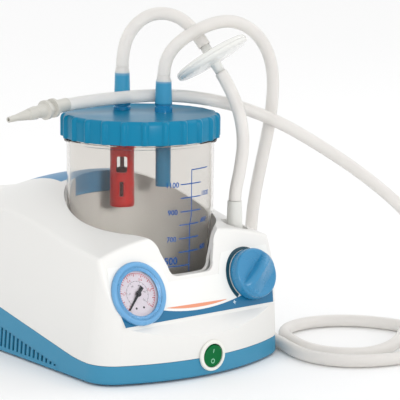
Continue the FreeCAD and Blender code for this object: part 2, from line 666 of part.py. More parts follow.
def jar_lid():
    """Screw lid with half-round grip ribs and two port holes."""
    cap = turned([(0, 188), (59.0, 188), (59.0, LID_SKIRT_Z), (LID_RADIUS, LID_SKIRT_Z),
                  (LID_RADIUS, LID_TOP_Z - 1.5), (LID_RADIUS - 1.2, LID_TOP_Z),
                  (LID_RADIUS - 3.4, LID_TOP_Z), (LID_RADIUS - 4.2, LID_TOP_Z - 0.6),
                  (0, LID_TOP_Z - 0.6)], Vector(0, JAR_Y, 0))
    ribs = []
    for index in range(LID_RIB_COUNT):
        angle = 2 * math.pi * (index + LID_RIB_PHASE) / LID_RIB_COUNT
        x = (LID_RADIUS - 0.9) * math.cos(angle)
        y = JAR_Y + (LID_RADIUS - 0.9) * math.sin(angle)
        rib = cylinder(LID_RIB_RADIUS, Vector(x, y, LID_SKIRT_Z), LID_TOP_Z - LID_SKIRT_Z - 1.2)
        ribs.append(rounded(rib, 1.0, lambda p: p.z > LID_TOP_Z - 1.3))
    bore = cylinder(59.0, Vector(0, JAR_Y, LID_SKIRT_Z - 1), 189 - LID_SKIRT_Z)
    lid = merged([cap] + [rib.cut(bore) for rib in ribs])
    lid = lid.cut(cylinder(4.6, VACUUM_PORT.add(Vector(0, 0, 180)), 20))
    return lid.cut(cylinder(4.6, PATIENT_PORT.add(Vector(0, 0, 180)), 20))


def lid_gasket():
    return tube(58.8, 52.5, Vector(0, JAR_Y, JAR_TOP_Z + 0.05), 1.9)


def vacuum_nozzle():
    return turned([(2.8, 182), (4.5, 182), (4.5, 190.4), (6.6, 190.4), (6.6, 192.4), (5.9, 193.4),
                   (5.4, VACUUM_NOZZLE_TOP_Z), (2.8, VACUUM_NOZZLE_TOP_Z)], VACUUM_PORT)


def patient_nozzle():
    return turned([(2.8, 182), (4.5, 182), (4.5, 190.4), (6.9, 190.4), (6.9, 194.0), (6.3, 194.5),
                   (6.3, 196), (5.7, PATIENT_NOZZLE_TOP_Z), (2.8, PATIENT_NOZZLE_TOP_Z)],
                  PATIENT_PORT)


def drop_tube():
    return turned([(4.6, DROP_TUBE_BOTTOM_Z), (6.0, DROP_TUBE_BOTTOM_Z), (6.0, 187.9),
                   (4.6, 187.9)], PATIENT_PORT)


def float_cage():
    """Cage that hangs under the vacuum port, with side windows and drain holes."""
    top_z = 187.9
    shell = turned([(0, CAGE_BOTTOM_Z), (9.4, CAGE_BOTTOM_Z), (9.9, CAGE_BOTTOM_Z + 2),
                    (9.5, 150), (10.0, 180), (10.0, top_z), (4.7, top_z), (4.7, 182),
                    (8.4, 178), (8.0, 150), (8.2, CAGE_BOTTOM_Z + 2), (0, CAGE_BOTTOM_Z + 2)],
                   VACUUM_PORT)
    cuts = []
    for turn in (-39.0, 141.0):
        window = box((-4.4, -12, 141), (4.4, -5, 154))
        window = rounded(window, 1.8, lambda p: p.x ** 2 > 19 and (p.z < 141.1 or p.z > 153.9))
        slot = box((-1.6, -12, 122), (1.6, -5, 134))
        for cut in (window, slot):
            cut.rotate(Vector(0, 0, 0), Vector(0, 0, 1), turn)
            cut.translate(VACUUM_PORT)
            cuts.append(cut)
    for angle in (0.0, 2.1, 4.2):
        hole = Vector(4.6 * math.cos(angle), 4.6 * math.sin(angle), CAGE_BOTTOM_Z - 1)
        cuts.append(cylinder(1.2, VACUUM_PORT.add(hole), 4))
    return shell.cut(cuts)


def float_valve():
    """Float with a rubber-tipped stem that closes the vacuum port when it rises."""
    bottom = CAGE_BOTTOM_Z + 2.3
    return turned([(0, bottom), (5.6, bottom), (7.2, bottom + 1.6), (7.2, bottom + 26),
                   (5.6, bottom + 27.6), (1.6, bottom + 29), (1.6, bottom + 50),
                   (3.2, bottom + 51), (3.2, bottom + 53), (0, bottom + 54.5)], VACUUM_PORT)


# ---------------------------------------------------------------- bacterial filter on the hose
def filter_part(shape):
    return placed(shape, about(FILTER_AXIS, FILTER_CENTRE))


def filter_upper():
    return filter_part(turned([(2.0, -11), (3.2, -11), (3.2, -5.2), (5.0, -4.4), (26, -3.2),
                               (29.5, -2.6), (FILTER_RADIUS, -1.6), (FILTER_RADIUS, 0.0),
                               (27.2, 0.0), (27.2, -1.6), (2.0, -2.8)]))


def filter_lower():
    return filter_part(turned([(2.0, 13.5), (3.2, 13.5), (3.2, 5.2), (5.0, 4.4), (26, 3.2),
                               (29.5, 2.6), (FILTER_RADIUS, 1.6), (FILTER_RADIUS, 0.05),
                               (27.2, 0.05), (27.2, 1.6), (2.0, 2.8)]))


def filter_membrane():
    return filter_part(cylinder(26.8, Vector(0, 0, -0.4), 0.8))


def conical_connector():
    """Stepped hose end: a barrel, two collars and a long cone to a narrow tip."""
    end = Vector(*PATIENT_HOSE[-1])
    axis = end.sub(Vector(*PATIENT_HOSE[-2])).normalize()
    body = turned([(2.0, 0), (5.2, 0), (5.2, 13), (7.4, 13.6), (7.4, 15.8), (4.8, 16.6),
                   (4.8, 20.8), (7.5, 21.6), (7.5, 24), (5.4, 25), (4.6, 33), (5.2, 34),
                   (4.4, 41), (3.7, 42), (4.0, 43), (2.8, 52), (2.6, 53), (2.2, 62),
                   (1.2, 62)])
    return placed(body, about(axis, end))


# ---------------------------------------------------------------- mains inlet
def mains_inlet():
    """Rear appliance inlet with a socket for the lead and a fuse drawer below it."""
    rear = REAR_Y + FLANGE_PROUD
    flange = box((INLET_X - 15, REAR_Y + 0.1, INLET_Z - 21.5), (INLET_X + 15, rear, INLET_Z + 21.5))
    body = box((INLET_X - 13.3, REAR_Y - 24, INLET_Z - 19.3),
               (INLET_X + 13.3, REAR_Y + 0.5, INLET_Z + 19.3))
    socket = box((INLET_X - 12.2, REAR_Y - 16, INLET_Z + 0.5),
                 (INLET_X + 12.2, rear + 1, INLET_Z + 17))
    socket = rounded(socket, 3.0, lambda p: abs(abs(p.x - INLET_X) - 12.2) < 0.1
                     and p.z > INLET_Z + 16.9)
    drawer_bay = box((INLET_X - 9.3, REAR_Y - 21, INLET_Z - 15.3),
                     (INLET_X + 9.3, rear + 1, INLET_Z - 4.7))
    return merged([flange, body]).cut(socket).cut(drawer_bay)


def inlet_pins():
    pins = []
    for x, z in ((-7, 7), (0, 11), (7, 7)):
        low = (INLET_X + x - 1, REAR_Y - 34, INLET_Z + z - 2)
        high = (INLET_X + x + 1, REAR_Y - 1, INLET_Z + z + 2)
        pins.append(box(low, high))
    return group(pins)


def fuse_drawer():
    rear = REAR_Y + FLANGE_PROUD
    tray = box((INLET_X - 9, REAR_Y - 20, INLET_Z - 15), (INLET_X + 9, rear, INLET_Z - 5))
    bay = box((INLET_X - 7.5, REAR_Y - 18.5, INLET_Z - 13), (INLET_X + 7.5, REAR_Y - 1, INLET_Z - 4))
    return tray.cut(bay)


def fuse_cartridges():
    fuses = []
    for x in (-3.8, 3.8):
        fuses.append(cylinder(2.5, Vector(INLET_X + x, REAR_Y - 18.4, INLET_Z - 10.3), 17.0,
                              Vector(0, 1, 0)))
    return group(fuses)


# ---------------------------------------------------------------- motor
def shaft_point(x):
    return Vector(x, MOTOR_Y, MOTOR_Z)


def motor_stator():
    low = (MOTOR_X - STACK_HALF, MOTOR_Y - 38, MOTOR_Z - 31)
    high = (MOTOR_X + STACK_HALF, MOTOR_Y + 56, MOTOR_Z + 31)
    stack = box(low, high)
    bore = cylinder(STATOR_BORE, shaft_point(MOTOR_X - 30), 60, SHAFT_AXIS)
    window = box((MOTOR_X - 30, MOTOR_Y + 27, MOTOR_Z - 17),
                 (MOTOR_X + 30, MOTOR_Y + 44, MOTOR_Z + 17))
    return stack.cut(bore).cut(window)


def motor_coil():
    """Bobbin winding on the rear leg of the lamination stack."""
    outer = box((MOTOR_X - 27, MOTOR_Y + 33.5, MOTOR_Z - 16.5),
                (MOTOR_X + 27, MOTOR_Y + 66.5, MOTOR_Z + 16.5))
    outer = rounded(outer, 7.0, lambda p: abs(p.z - MOTOR_Z) < 0.1)
    leg = box((MOTOR_X - STACK_HALF - 0.2, MOTOR_Y + 43.8, MOTOR_Z - 20),
              (MOTOR_X + STACK_HALF + 0.2, MOTOR_Y + 56.2, MOTOR_Z + 20))
    return outer.cut(leg)


def motor_rotor():
    core = cylinder(ROTOR_RADIUS, shaft_point(MOTOR_X - STACK_HALF), 2 * STACK_HALF, SHAFT_AXIS)
    rings = [cylinder(16.0, shaft_point(MOTOR_X - STACK_HALF - 3), 3.5, SHAFT_AXIS),
             cylinder(16.0, shaft_point(MOTOR_X + STACK_HALF - 0.5), 3.5, SHAFT_AXIS)]
    return merged([core] + rings).cut(cylinder(SHAFT_RADIUS, shaft_point(-80), 160, SHAFT_AXIS))


def motor_shaft():
    return cylinder(SHAFT_RADIUS, shaft_point(-62), 62 + CRANK_X + 1.0, SHAFT_AXIS)


def bridge_plate(x):
    """End bracket that carries one shaft bearing."""
    plate = box((x - 1.5, MOTOR_Y - 34, MOTOR_Z - 9), (x + 1.5, MOTOR_Y + 26, MOTOR_Z + 9))
    boss = cylinder(10.5, shaft_point(x - 1.5), 3.0, SHAFT_AXIS)
    legs = [box((min(x, MOTOR_X), y, MOTOR_Z - 6), (max(x, MOTOR_X), y + 6, MOTOR_Z + 6))
            for y in (MOTOR_Y - 34, MOTOR_Y + 20)]
    stack = box((MOTOR_X - STACK_HALF - 0.1, MOTOR_Y - 60, 0),
                (MOTOR_X + STACK_HALF + 0.1, MOTOR_Y + 60, 120))
    bracket = merged([plate, boss] + legs).cut(stack)
    return bracket.cut(cylinder(6.0, shaft_point(x - 10), 20, SHAFT_AXIS))


def bearing_brackets():
    return group([bridge_plate(x) for x in BRIDGE_XS])


def shaft_bearings():
    return group([tube(6.0, SHAFT_RADIUS + 0.05, shaft_point(x - 3), 6.0, SHAFT_AXIS)
                  for x in BRIDGE_XS])


def cooling_fan():
    hub = tube(9.0, SHAFT_RADIUS, shaft_point(-60), 9.0, SHAFT_AXIS)
    blades = []
    for index in range(7):
        blade = box((-59, MOTOR_Y - 1, MOTOR_Z + 7), (-53, MOTOR_Y + 1, MOTOR_Z + 27))
        blade.rotate(shaft_point(-56).add(Vector(0, 0, 17)), Vector(0, 0, 1), 28.0)
        blade.rotate(shaft_point(0), SHAFT_AXIS, index * 360.0 / 7)
        blades.append(blade)
    return merged([hub] + blades)


# ---------------------------------------------------------------- piston pump
def crank():
    """Balance disc pressed on the shaft, with the crank pin at its upper side."""
    disc = cylinder(15.0, shaft_point(CRANK_X - 7), 5.5, SHAFT_AXIS)
    pin = cylinder(4.0, shaft_point(CRANK_X - 2).add(Vector(0, 0, CRANK_THROW)), 11.0, SHAFT_AXIS)
    weight = box((CRANK_X - 7, MOTOR_Y - 9, MOTOR_Z - 19),
                 (CRANK_X - 1.5, MOTOR_Y + 9, MOTOR_Z - 8))
    bore = cylinder(SHAFT_RADIUS, shaft_point(-10), 10 + CRANK_X + 1.0, SHAFT_AXIS)
    return merged([disc, weight, pin]).cut(bore)


def connecting_rod():
    z = MOTOR_Z + CRANK_THROW
    x = CRANK_X + 1.0
    eye = cylinder(8.0, Vector(x, BIG_END_Y, z), 7.0, SHAFT_AXIS)
    beam = box((x + 1, SMALL_END_Y, z - 2.5), (x + 6, BIG_END_Y, z + 2.5))
    small = cylinder(3.6, Vector(x, SMALL_END_Y, z), 7.0, SHAFT_AXIS)
    bore = cylinder(4.05, Vector(x - 2, BIG_END_Y, z), 12.0, SHAFT_AXIS)
    return merged([eye, beam, small]).cut(bore)


def cylinder_centre(y):
    return Vector(CRANK_X + 4.5, y, MOTOR_Z)


def piston():
    """Hollow piston; its wrist pin is left out so that the rod end can swing free inside."""
    outer = cylinder(CYLINDER_BORE - 0.06, cylinder_centre(PISTON_SKIRT_Y), PISTON_LENGTH,
                     CYLINDER_AXIS)
    hollow = cylinder(CYLINDER_BORE - 2.0, cylinder_centre(PISTON_SKIRT_Y + 1),
                      PISTON_LENGTH - 2.0, CYLINDER_AXIS)
    groove = tube(20.0, CYLINDER_BORE - 1.6, cylinder_centre(CROWN_Y + 5.0), 2.4, CYLINDER_AXIS)
    return outer.cut(hollow).cut(groove)


def piston_ring():
    return tube(CYLINDER_BORE - 0.03, CYLINDER_BORE - 1.5, cylinder_centre(CROWN_Y + 4.8), 2.0,
                CYLINDER_AXIS)


def pump_cylinder():
    start = PISTON_SKIRT_Y - 2.0
    length = start - HEAD_Y
    sleeve = cylinder(18.0, cylinder_centre(start), length, CYLINDER_AXIS)
    fins = []
    for index in range(5):
        fins.append(cylinder(23.0, cylinder_centre(start - 3 - 5.5 * index), 1.8, CYLINDER_AXIS))
    flange = box((CRANK_X - 20, HEAD_Y, MOTOR_Z - 23), (CRANK_X + 29, HEAD_Y + 4, MOTOR_Z + 23))
    bore = cylinder(CYLINDER_BORE, cylinder_centre(start + 1), length + 5, CYLINDER_AXIS)
    return merged([sleeve, flange] + fins).cut(bore)


def valve_plate():
    plate = box((CRANK_X - 20, HEAD_Y - 3.1, MOTOR_Z - 23),
                (CRANK_X + 29, HEAD_Y - 0.1, MOTOR_Z + 23))
    holes = [cylinder(2.2, Vector(CRANK_X + 4.5 + x, HEAD_Y + 1, MOTOR_Z), 6.0, CYLINDER_AXIS)
             for x in (-7, 7)]
    return plate.cut(holes)


def cylinder_head():
    """Head with the suction and delivery chambers side by side."""
    start_y = HEAD_Y - 3.2
    depth = 11.0
    block = box((CRANK_X - 20, start_y - depth, MOTOR_Z - 23),
                (CRANK_X + 29, start_y, MOTOR_Z + 23))
    chambers = [box((x, start_y - 7, MOTOR_Z - 12), (x + 16, start_y + 1, MOTOR_Z + 12))
                for x in (CRANK_X - 13, CRANK_X + 6)]
    ports = [tube(3.6, 2.0, Vector(CRANK_X + x, start_y - depth - 5, MOTOR_Z - 2), 12.0,
                  Vector(0, 1, 0)) for x in (-5.5, 14.5)]
    holes = [cylinder(2.0, Vector(CRANK_X + x, start_y - depth - 6, MOTOR_Z - 2), 14.0,
                      Vector(0, 1, 0)) for x in (-5.5, 14.5)]
    return merged([block.cut(chambers)] + ports).cut(holes)


def head_screws():
    screws = []
    for x in (CRANK_X - 16, CRANK_X + 25):
        for z in (MOTOR_Z - 19, MOTOR_Z + 19):
            base = Vector(x, HEAD_Y - 3.2 - 11.0, z)
            head = turned([(0, -2.4), (2.8, -2.4), (2.8, -0.05), (0, -0.05)])
            screws.append(placed(head, about(Vector(0, 1, 0), base)))
    return group(screws)


def pump_frame():
    """Bent steel plate that carries motor and cylinder on four rubber mounts."""
    floor = box((MOTOR_X - 30, -2, 9.0), (CRANK_X + 32, MOTOR_Y + 58, 11.0))
    stand = box((MOTOR_X - STACK_HALF, MOTOR_Y - 38, 11.0),
                (MOTOR_X + STACK_HALF, MOTOR_Y + 30, MOTOR_Z - 31.1))
    cradle = box((CRANK_X - 10, HEAD_Y + 5, 11.0), (CRANK_X + 19, HEAD_Y + 6.6, MOTOR_Z - 23.2))
    relief = box((CRANK_X - 12, MOTOR_Y - 24, 8.0), (CRANK_X + 12, MOTOR_Y + 24, 12.0))
    return merged([floor, stand, cradle]).cut(relief)


def rubber_mounts():
    return group([turned([(0, 0), (7, 0), (5.4, 2.3), (7, 4.6), (0, 4.6)],
                         Vector(x, y, CASE_BOTTOM_Z + CASE_WALL + 0.05)) for x, y in MOUNT_SPOTS])


def exhaust_muffler():
    """Felt-filled can that quietens the exhaust, with its inlet spigot at the front."""
    can = cylinder(11.0, Vector(-46, 6, 24), 42.0, Vector(0, 1, 0))
    spigot = tube(3.2, 1.8, Vector(-46, -4, 24), 11.0, Vector(0, 1, 0))
    return merged([can, spigot])


def vacuum_line():
    return hose("vacuum_line", INNER_LINE, 3.4, 1.9)


# ---------------------------------------------------------------- build every node
outer_case = rounded_case()

NODES = {
    "base_tray": base_tray,
    "rubber_feet": rubber_feet,
    "housing_screws": housing_screws,
    "top_shell": top_shell,
    "carry_handle": carry_handle,
    "panel_label": panel_label,
    "gauge_case": gauge_case,
    "gauge_bezel": gauge_bezel,
    "gauge_glass": gauge_glass,
    "gauge_dial": gauge_dial,
    "gauge_needle": gauge_needle,
    "bourdon_tube": bourdon_tube,
    "gauge_movement": gauge_movement,
    "regulator_knob": regulator_knob,
    "regulator_spindle": regulator_spindle,
    "regulator_valve": regulator_valve,
    "switch_bezel": switch_bezel,
    "switch_rocker": switch_rocker,
    "switch_body": switch_body,
    "inlet_fitting": inlet_fitting,
    "collection_jar": collection_jar,
    "jar_lid": jar_lid,
    "lid_gasket": lid_gasket,
    "vacuum_nozzle": vacuum_nozzle,
    "patient_nozzle": patient_nozzle,
    "drop_tube": drop_tube,
    "float_cage": float_cage,
    "float_valve": float_valve,
    "filter_upper": filter_upper,
    "filter_lower": filter_lower,
    "filter_membrane": filter_membrane,
    "vacuum_hose": lambda: hose("vacuum_hose", VACUUM_HOSE),
    "filter_hose": lambda: hose("filter_hose", FILTER_HOSE),
    "patient_hose": lambda: hose("patient_hose", PATIENT_HOSE),
    "conical_connector": conical_connector,
    "mains_inlet": mains_inlet,
    "inlet_pins": inlet_pins,
    "fuse_drawer": fuse_drawer,
    "fuse_cartridges": fuse_cartridges,
    "motor_stator": motor_stator,
    "motor_coil": motor_coil,
    "motor_rotor": motor_rotor,
    "motor_shaft": motor_shaft,
    "bearing_brackets": bearing_brackets,
    "shaft_bearings": shaft_bearings,
    "cooling_fan": cooling_fan,
    "crank": crank,
    "connecting_rod": connecting_rod,
    "piston": piston,
    "piston_ring": piston_ring,
    "pump_cylinder": pump_cylinder,
    "valve_plate": valve_plate,
    "cylinder_head": cylinder_head,
    "head_screws": head_screws,
    "pump_frame": pump_frame,
    "rubber_mounts": rubber_mounts,
    "exhaust_muffler": exhaust_muffler,
    "vacuum_line": vacuum_line,
}

os.makedirs("parts", exist_ok=True)
for name, build in NODES.items():
    shape = build()
    problem = "" if shape.isValid() else "  NOT VALID"
    print(name, len(shape.Solids), "solids", round(shape.Volume), "mm3", problem)
    shape.exportStep("parts/" + name + ".step")
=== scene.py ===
"""Suction pump: finishes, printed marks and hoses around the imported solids, as an add-on."""

import math

import bmesh
import bpy
import numpy as np
from bpy.props import FloatProperty, FloatVectorProperty, IntProperty, PointerProperty
from mathutils import Matrix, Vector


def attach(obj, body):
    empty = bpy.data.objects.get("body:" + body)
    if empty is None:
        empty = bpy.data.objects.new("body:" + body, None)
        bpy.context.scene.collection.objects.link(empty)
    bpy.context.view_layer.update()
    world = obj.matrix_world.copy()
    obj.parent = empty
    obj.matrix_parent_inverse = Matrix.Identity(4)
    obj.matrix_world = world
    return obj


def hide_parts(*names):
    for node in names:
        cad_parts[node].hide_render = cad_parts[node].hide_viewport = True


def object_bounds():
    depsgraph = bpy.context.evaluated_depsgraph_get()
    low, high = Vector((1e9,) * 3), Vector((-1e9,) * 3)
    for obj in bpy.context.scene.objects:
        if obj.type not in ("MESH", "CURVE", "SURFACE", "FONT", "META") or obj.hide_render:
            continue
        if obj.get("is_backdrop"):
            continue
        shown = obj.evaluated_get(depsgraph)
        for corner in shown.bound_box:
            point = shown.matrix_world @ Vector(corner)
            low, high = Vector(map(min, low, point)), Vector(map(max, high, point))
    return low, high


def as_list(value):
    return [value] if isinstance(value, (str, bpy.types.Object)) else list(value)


bl_info = {
    "name": "Suction Pump",
    "version": (1, 0, 0),
    "blender": (4, 5, 0),
    "location": "3D View > Sidebar > Suction Pump",
    "description": "Finishes, printed marks and hoses of a suction pump",
    "category": "Object",
}

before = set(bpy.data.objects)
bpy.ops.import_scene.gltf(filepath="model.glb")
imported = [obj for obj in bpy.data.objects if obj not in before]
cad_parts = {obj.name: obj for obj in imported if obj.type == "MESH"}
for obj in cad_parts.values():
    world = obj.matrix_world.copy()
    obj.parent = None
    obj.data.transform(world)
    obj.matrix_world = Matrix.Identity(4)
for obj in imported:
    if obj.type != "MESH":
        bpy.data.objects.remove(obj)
CAD_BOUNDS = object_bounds()

MM = 0.001
UP = np.array((0.0, 0.0, 1.0))

# inclined front panel: its foot line, its lean, and the centres of gauge and knob on it
PANEL_ANGLE = math.atan2(20.0, 53.0)
PANEL_FOOT_Z = 42.5
PANEL_FOOT = np.array((0.0, -161.5, PANEL_FOOT_Z))
PANEL_UP = np.array((0.0, math.sin(PANEL_ANGLE), math.cos(PANEL_ANGLE)))
PANEL_OUT = np.array((0.0, -math.cos(PANEL_ANGLE), math.sin(PANEL_ANGLE)))
GAUGE_SPOT = (-54.5, (66.7 - PANEL_FOOT_Z) / math.cos(PANEL_ANGLE))
KNOB_SPOT = (54.5, (67.3 - PANEL_FOOT_Z) / math.cos(PANEL_ANGLE))
LABEL_TOP = 0.35            # face of the panel film above the panel

# panel print: radii left open round gauge and knob, foot of the band, arc round the knob
GAUGE_CLEAR, KNOB_CLEAR = 21.7, 8.2
BAND_FOOT = 2.6
ARC_RADIUS, ARC_WIDTH = 20.2, 3.2

# gauge: depth of the dial under the panel, and sweep of its scales in degrees
DIAL_DEPTH = 0.6
DIAL_SWEEP = 270.0
DIAL_START = -DIAL_SWEEP / 2.0
RED_NUMBERS = ("0", "0.2", "0.4", "0.6", "0.8", "1.0")
BLACK_NUMBERS = ("0", "150", "300", "450", "600", "750")

# knob: rings over its face, then its fin and the dish round the fin
FACE_RINGS = 44
FIN_LEAN = math.radians(40.0)
FIN_HEIGHT, FIN_HALF_LENGTH = 6.4, 18.4
FLANK_RADIUS, RAMP_START, RAMP_LENGTH = 5.0, 1.2, 10.5
DISH_DEPTH, DISH_RADIUS = 1.3, 17.6

# rocker: middle of its axle, tilt at rest, face above the axle, radius of the hollow face
ROCKER_CENTRE = np.array((-1.5, -174.6, 16.6))
ROCKER_TILT = math.radians(6.0)
ROCKER_FACE, ROCKER_HOLLOW = 2.0, 30.0

LID_RIBS = 24
LID_RIB_PHASE = 0.72        # turn of the first rib, as a share of the rib spacing
LID_RADIUS, LID_RIB_HEIGHT, LID_RIB_HALF_WIDTH = 60.1, 2.1, 2.5

# collection jar: its axis, and its outside radius at a few heights
JAR_Y = -83.5
JAR_HEIGHTS = (28.3, 111.0, 115.5, 119.0, 169.5)
JAR_RADII = (54.3, 55.5, 56.8, 57.2, 57.4)

# jar scale: number at the lowest line, lines in all, arc to its upright, width of a line
SCALE_FIRST, SCALE_LINES = 500, 8
SCALE_AT, SCALE_WIDTH, SCALE_FOOT = 5.3, 0.8, 5.0

# bacteria filter: its middle and the direction its hoses run through it
FILTER_CENTRE = (54.0, -104.0, 232.0)
FILTER_AXIS = (0.30, -0.47, -0.83)

VACUUM_HOSE = [
    (3, -55.5, 219), (3, -55.5, 236.5), (9.5, -58.5, 254), (22, -66, 265.5),
    (36.5, -78, 265.5), (46.5, -90.5, 254.5), (50.7, -98.8, 241.1),
]
FILTER_HOSE = [
    (58.05, -110.35, 220.8), (62, -117, 209), (66.5, -124, 190), (68, -127.5, 168),
    (65.5, -126.5, 146), (62.3, -124.7, 129), (62, -124.5, 121.3),
]
PATIENT_HOSE = [
    (19.6, -87.1, 214), (19.6, -87.1, 228), (25.3, -92.7, 242), (37.5, -100.5, 252.5),
    (55, -104.5, 259.5), (74, -105.5, 260.5), (92, -107, 253.5), (106, -109, 239),
    (113, -110.5, 217), (112, -110, 188), (107, -108.5, 160), (102, -105.5, 132),
    (98.5, -103, 104), (98, -102, 76), (98.8, -102.5, 53), (98.5, -104, 33),
    (98.7, -109.3, 20.3), (98.6, -119, 10.5), (97.8, -131.8, 5.2), (94.5, -148, 5.2),
    (87.5, -167, 5.2), (84, -189, 5.2), (91, -210, 5.2), (106, -225, 5.2),
    (127, -234.5, 5.2), (151, -237, 5.2), (175, -234, 5.2), (197, -222, 5.2),
    (211, -202, 5.2), (215, -179, 5.2), (211, -155, 5.2), (200, -132, 5.2),
    (181, -114.5, 5.2), (156, -107, 5.2), (132, -111, 5.2), (115, -125, 5.2),
    (106, -146, 5.2), (99.5, -168, 5.2), (101.8, -187, 5.2), (111.6, -202, 5.2),
    (127, -211.3, 5.2), (145.5, -212.5, 6), (166, -206, 8), (185, -194, 11.5),
    (204, -184.5, 20.5), (219, -178, 38), (226, -173, 60), (223, -170, 83),
    (211, -168, 101), (194, -164, 116.5), (168, -153.5, 138.5), (134, -137.5, 163),
    (106, -122, 181), (80, -103.5, 193), (56, -87.5, 199), (34, -78, 201.5),
    (11, -70, 201.8), (-12, -62, 200.5), (-34, -56.5, 198.8), (-54, -60.5, 198),
]


def display_colour(red, green, blue):
    """Linear colour from display values of 0 to 255: v/12.92 when dark, else a 2.4 power."""
    value = np.array((red, green, blue)) / 255.0
    return tuple(np.where(value <= 0.04045, value / 12.92, ((value + 0.055) / 1.055) ** 2.4))


# ---- sizes and colours
def length(label, description, millimetres):
    """Length property; the default is in millimetres."""
    return FloatProperty(name=label, description=description, default=millimetres * MM,
                         min=0.0, subtype="DISTANCE", unit="LENGTH", precision=5)


def paint(label, description, red, green, blue):
    """Colour property; the default is in display values of 0 to 255."""
    return FloatVectorProperty(name=label, description=description, subtype="COLOR", size=3,
                               min=0.0, max=1.0, default=display_colour(red, green, blue))


class SuctionPumpSizes(bpy.types.PropertyGroup):
    hose_radius: length("Hose radius", "Outside radius of the silicone hoses", 5.0)
    ink_lift: length("Ink lift", "Height of ink above its surface", 0.08)
    scale_step: length("Scale step", "Height of 100 ml on the jar's scale", 10.5)
    scale_start: length("Scale start", "Height of the 500 ml line above the floor", 79.3)
    digit_height: length("Digit height", "Height of the small numbers on the jar", 4.2)
    sleeve_wall: length("Sleeve wall", "Wall of a hose end stretched over its nozzle", 0.45)
    dial_ticks: IntProperty(name="Dial ticks", description="Steps on the gauge's outer scale",
                            default=40, min=10, max=100)


class SuctionPumpColours(bpy.types.PropertyGroup):
    shell: paint("Shell", "White top shell", 229, 228, 225)
    base: paint("Base", "Blue base tray", 50, 136, 172)
    lid: paint("Lid", "Jar lid", 0, 120, 157)
    nozzle: paint("Nozzle", "Ports moulded on the lid", 0, 122, 172)
    handle: paint("Handle", "Carry handle", 72, 138, 182)
    knob: paint("Knob", "Vacuum regulator knob", 42, 130, 176)
    bezel: paint("Gauge ring", "Ring round the gauge", 98, 158, 204)
    band: paint("Panel band", "Band along the foot of the panel", 0, 104, 146)
    accent: paint("Panel accent", "Lens above the band", 226, 148, 116)
    dark_arc: paint("Knob arc", "Arc round the knob", 8, 62, 78)
    scale_ink: paint("Jar ink", "Scale on the jar", 0, 78, 150)
    cage: paint("Float cage", "Red cage under the vacuum port", 188, 20, 14)
    rocker: paint("Rocker", "Green mains rocker", 0, 104, 52)
    hose: paint("Hose", "Milky silicone", 243, 240, 236)
    filter: paint("Filter", "Clear shells of the bacteria filter", 250, 250, 246)
    floor: paint("Floor", "Plain pale floor", 250, 250, 250)


# ---- mesh helpers
JOIN_DISTANCE = 1e-6        # metres; closer points become one


def grid_faces(rows, columns, closed=False):
    """Quads of a grid; with closed the last column joins the first."""
    across = columns if closed else columns - 1
    row, column = np.meshgrid(np.arange(rows - 1), np.arange(across), indexing="ij")
    following = (column + 1) % columns
    corners = (row * columns + column, row * columns + following,
               (row + 1) * columns + following, (row + 1) * columns + column)
    return np.stack(corners, axis=-1).reshape(-1, 4)


def placed(name, data):
    """New object in the scene."""
    piece = bpy.data.objects.new(name, data)
    bpy.context.scene.collection.objects.link(piece)
    return piece


def mesh_piece(name, points, faces, body, slot, material, smooth=True):
    """New object at the origin from points in millimetres; it rides on body."""
    mesh = bpy.data.meshes.new(name)
    mesh.from_pydata((np.asarray(points) * MM).tolist(), [], [list(face) for face in faces])
    joiner = bmesh.new()
    joiner.from_mesh(mesh)
    bmesh.ops.remove_doubles(joiner, verts=joiner.verts, dist=JOIN_DISTANCE)
    if smooth:
        bmesh.ops.recalc_face_normals(joiner, faces=joiner.faces)
    joiner.to_mesh(mesh)
    joiner.free()
    if smooth:
        mesh.shade_smooth()
    mesh.materials.append(material)
    piece = placed(name, mesh)
    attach(piece, body)
    return piece


def joined(parts):
    """One (points, faces) pair from several, with the faces renumbered."""
    points, faces, start = [], [], 0
    for some_points, some_faces in parts:
        points.append(some_points)
        faces.extend((np.asarray(face) + start).tolist() for face in some_faces)
        start += len(some_points)
    return np.concatenate(points), faces


def on_panel(x, v, lift=0.0):
    """Point = panel foot + x to the right + v up the slope + lift straight out of the panel."""
    x, v, lift = np.broadcast_arrays(*(np.asarray(value, float) for value in (x, v, lift)))
    right = np.array((1.0, 0.0, 0.0))
    return (PANEL_FOOT + x[..., None] * right + v[..., None] * PANEL_UP
            + lift[..., None] * PANEL_OUT)


def on_jar(around, height, lift):
    """Point on the jar's outside: arc length around from the front, then height, then lift."""
    radius = np.interp(height, JAR_HEIGHTS, JAR_RADII) + lift
    angle = around / JAR_RADII[-2]
    return np.stack((radius * np.sin(angle), JAR_Y - radius * np.cos(angle), height + 0 * angle),
                    axis=-1)


def patch(columns, rows, place):
    """Grid over s and t from 0 to 1; place(s, t) gives each point. Faces follow s then t."""
    s, t = np.meshgrid(np.linspace(0, 1, columns), np.linspace(0, 1, rows))
    return place(s, t).reshape(-1, 3), grid_faces(rows, columns)


def ring_patch(centre, inner, outer, start, end, columns, place):
    """Arc between two radii; angles in degrees run clockwise from straight up."""
    def point(s, t):
        angle = np.radians(start + (end - start) * s)
        radius = inner + (outer - inner) * t
        return place(centre[0] + radius * np.sin(angle), centre[1] + radius * np.cos(angle))
    return patch(columns, 2, point)


def bar_patch(start, end, width, place, columns=2):
    """Straight printed line from start to end with the given width."""
    start, end = np.array(start, float), np.array(end, float)
    along = (end - start) / np.linalg.norm(end - start)
    side = np.array((-along[1], along[0])) * width / 2.0

    def point(s, t):
        x = start[0] + (end[0] - start[0]) * s + side[0] * (2 * t - 1)
        y = start[1] + (end[1] - start[1]) * s + side[1] * (2 * t - 1)
        return place(x, y)
    return patch(columns, 2, point)


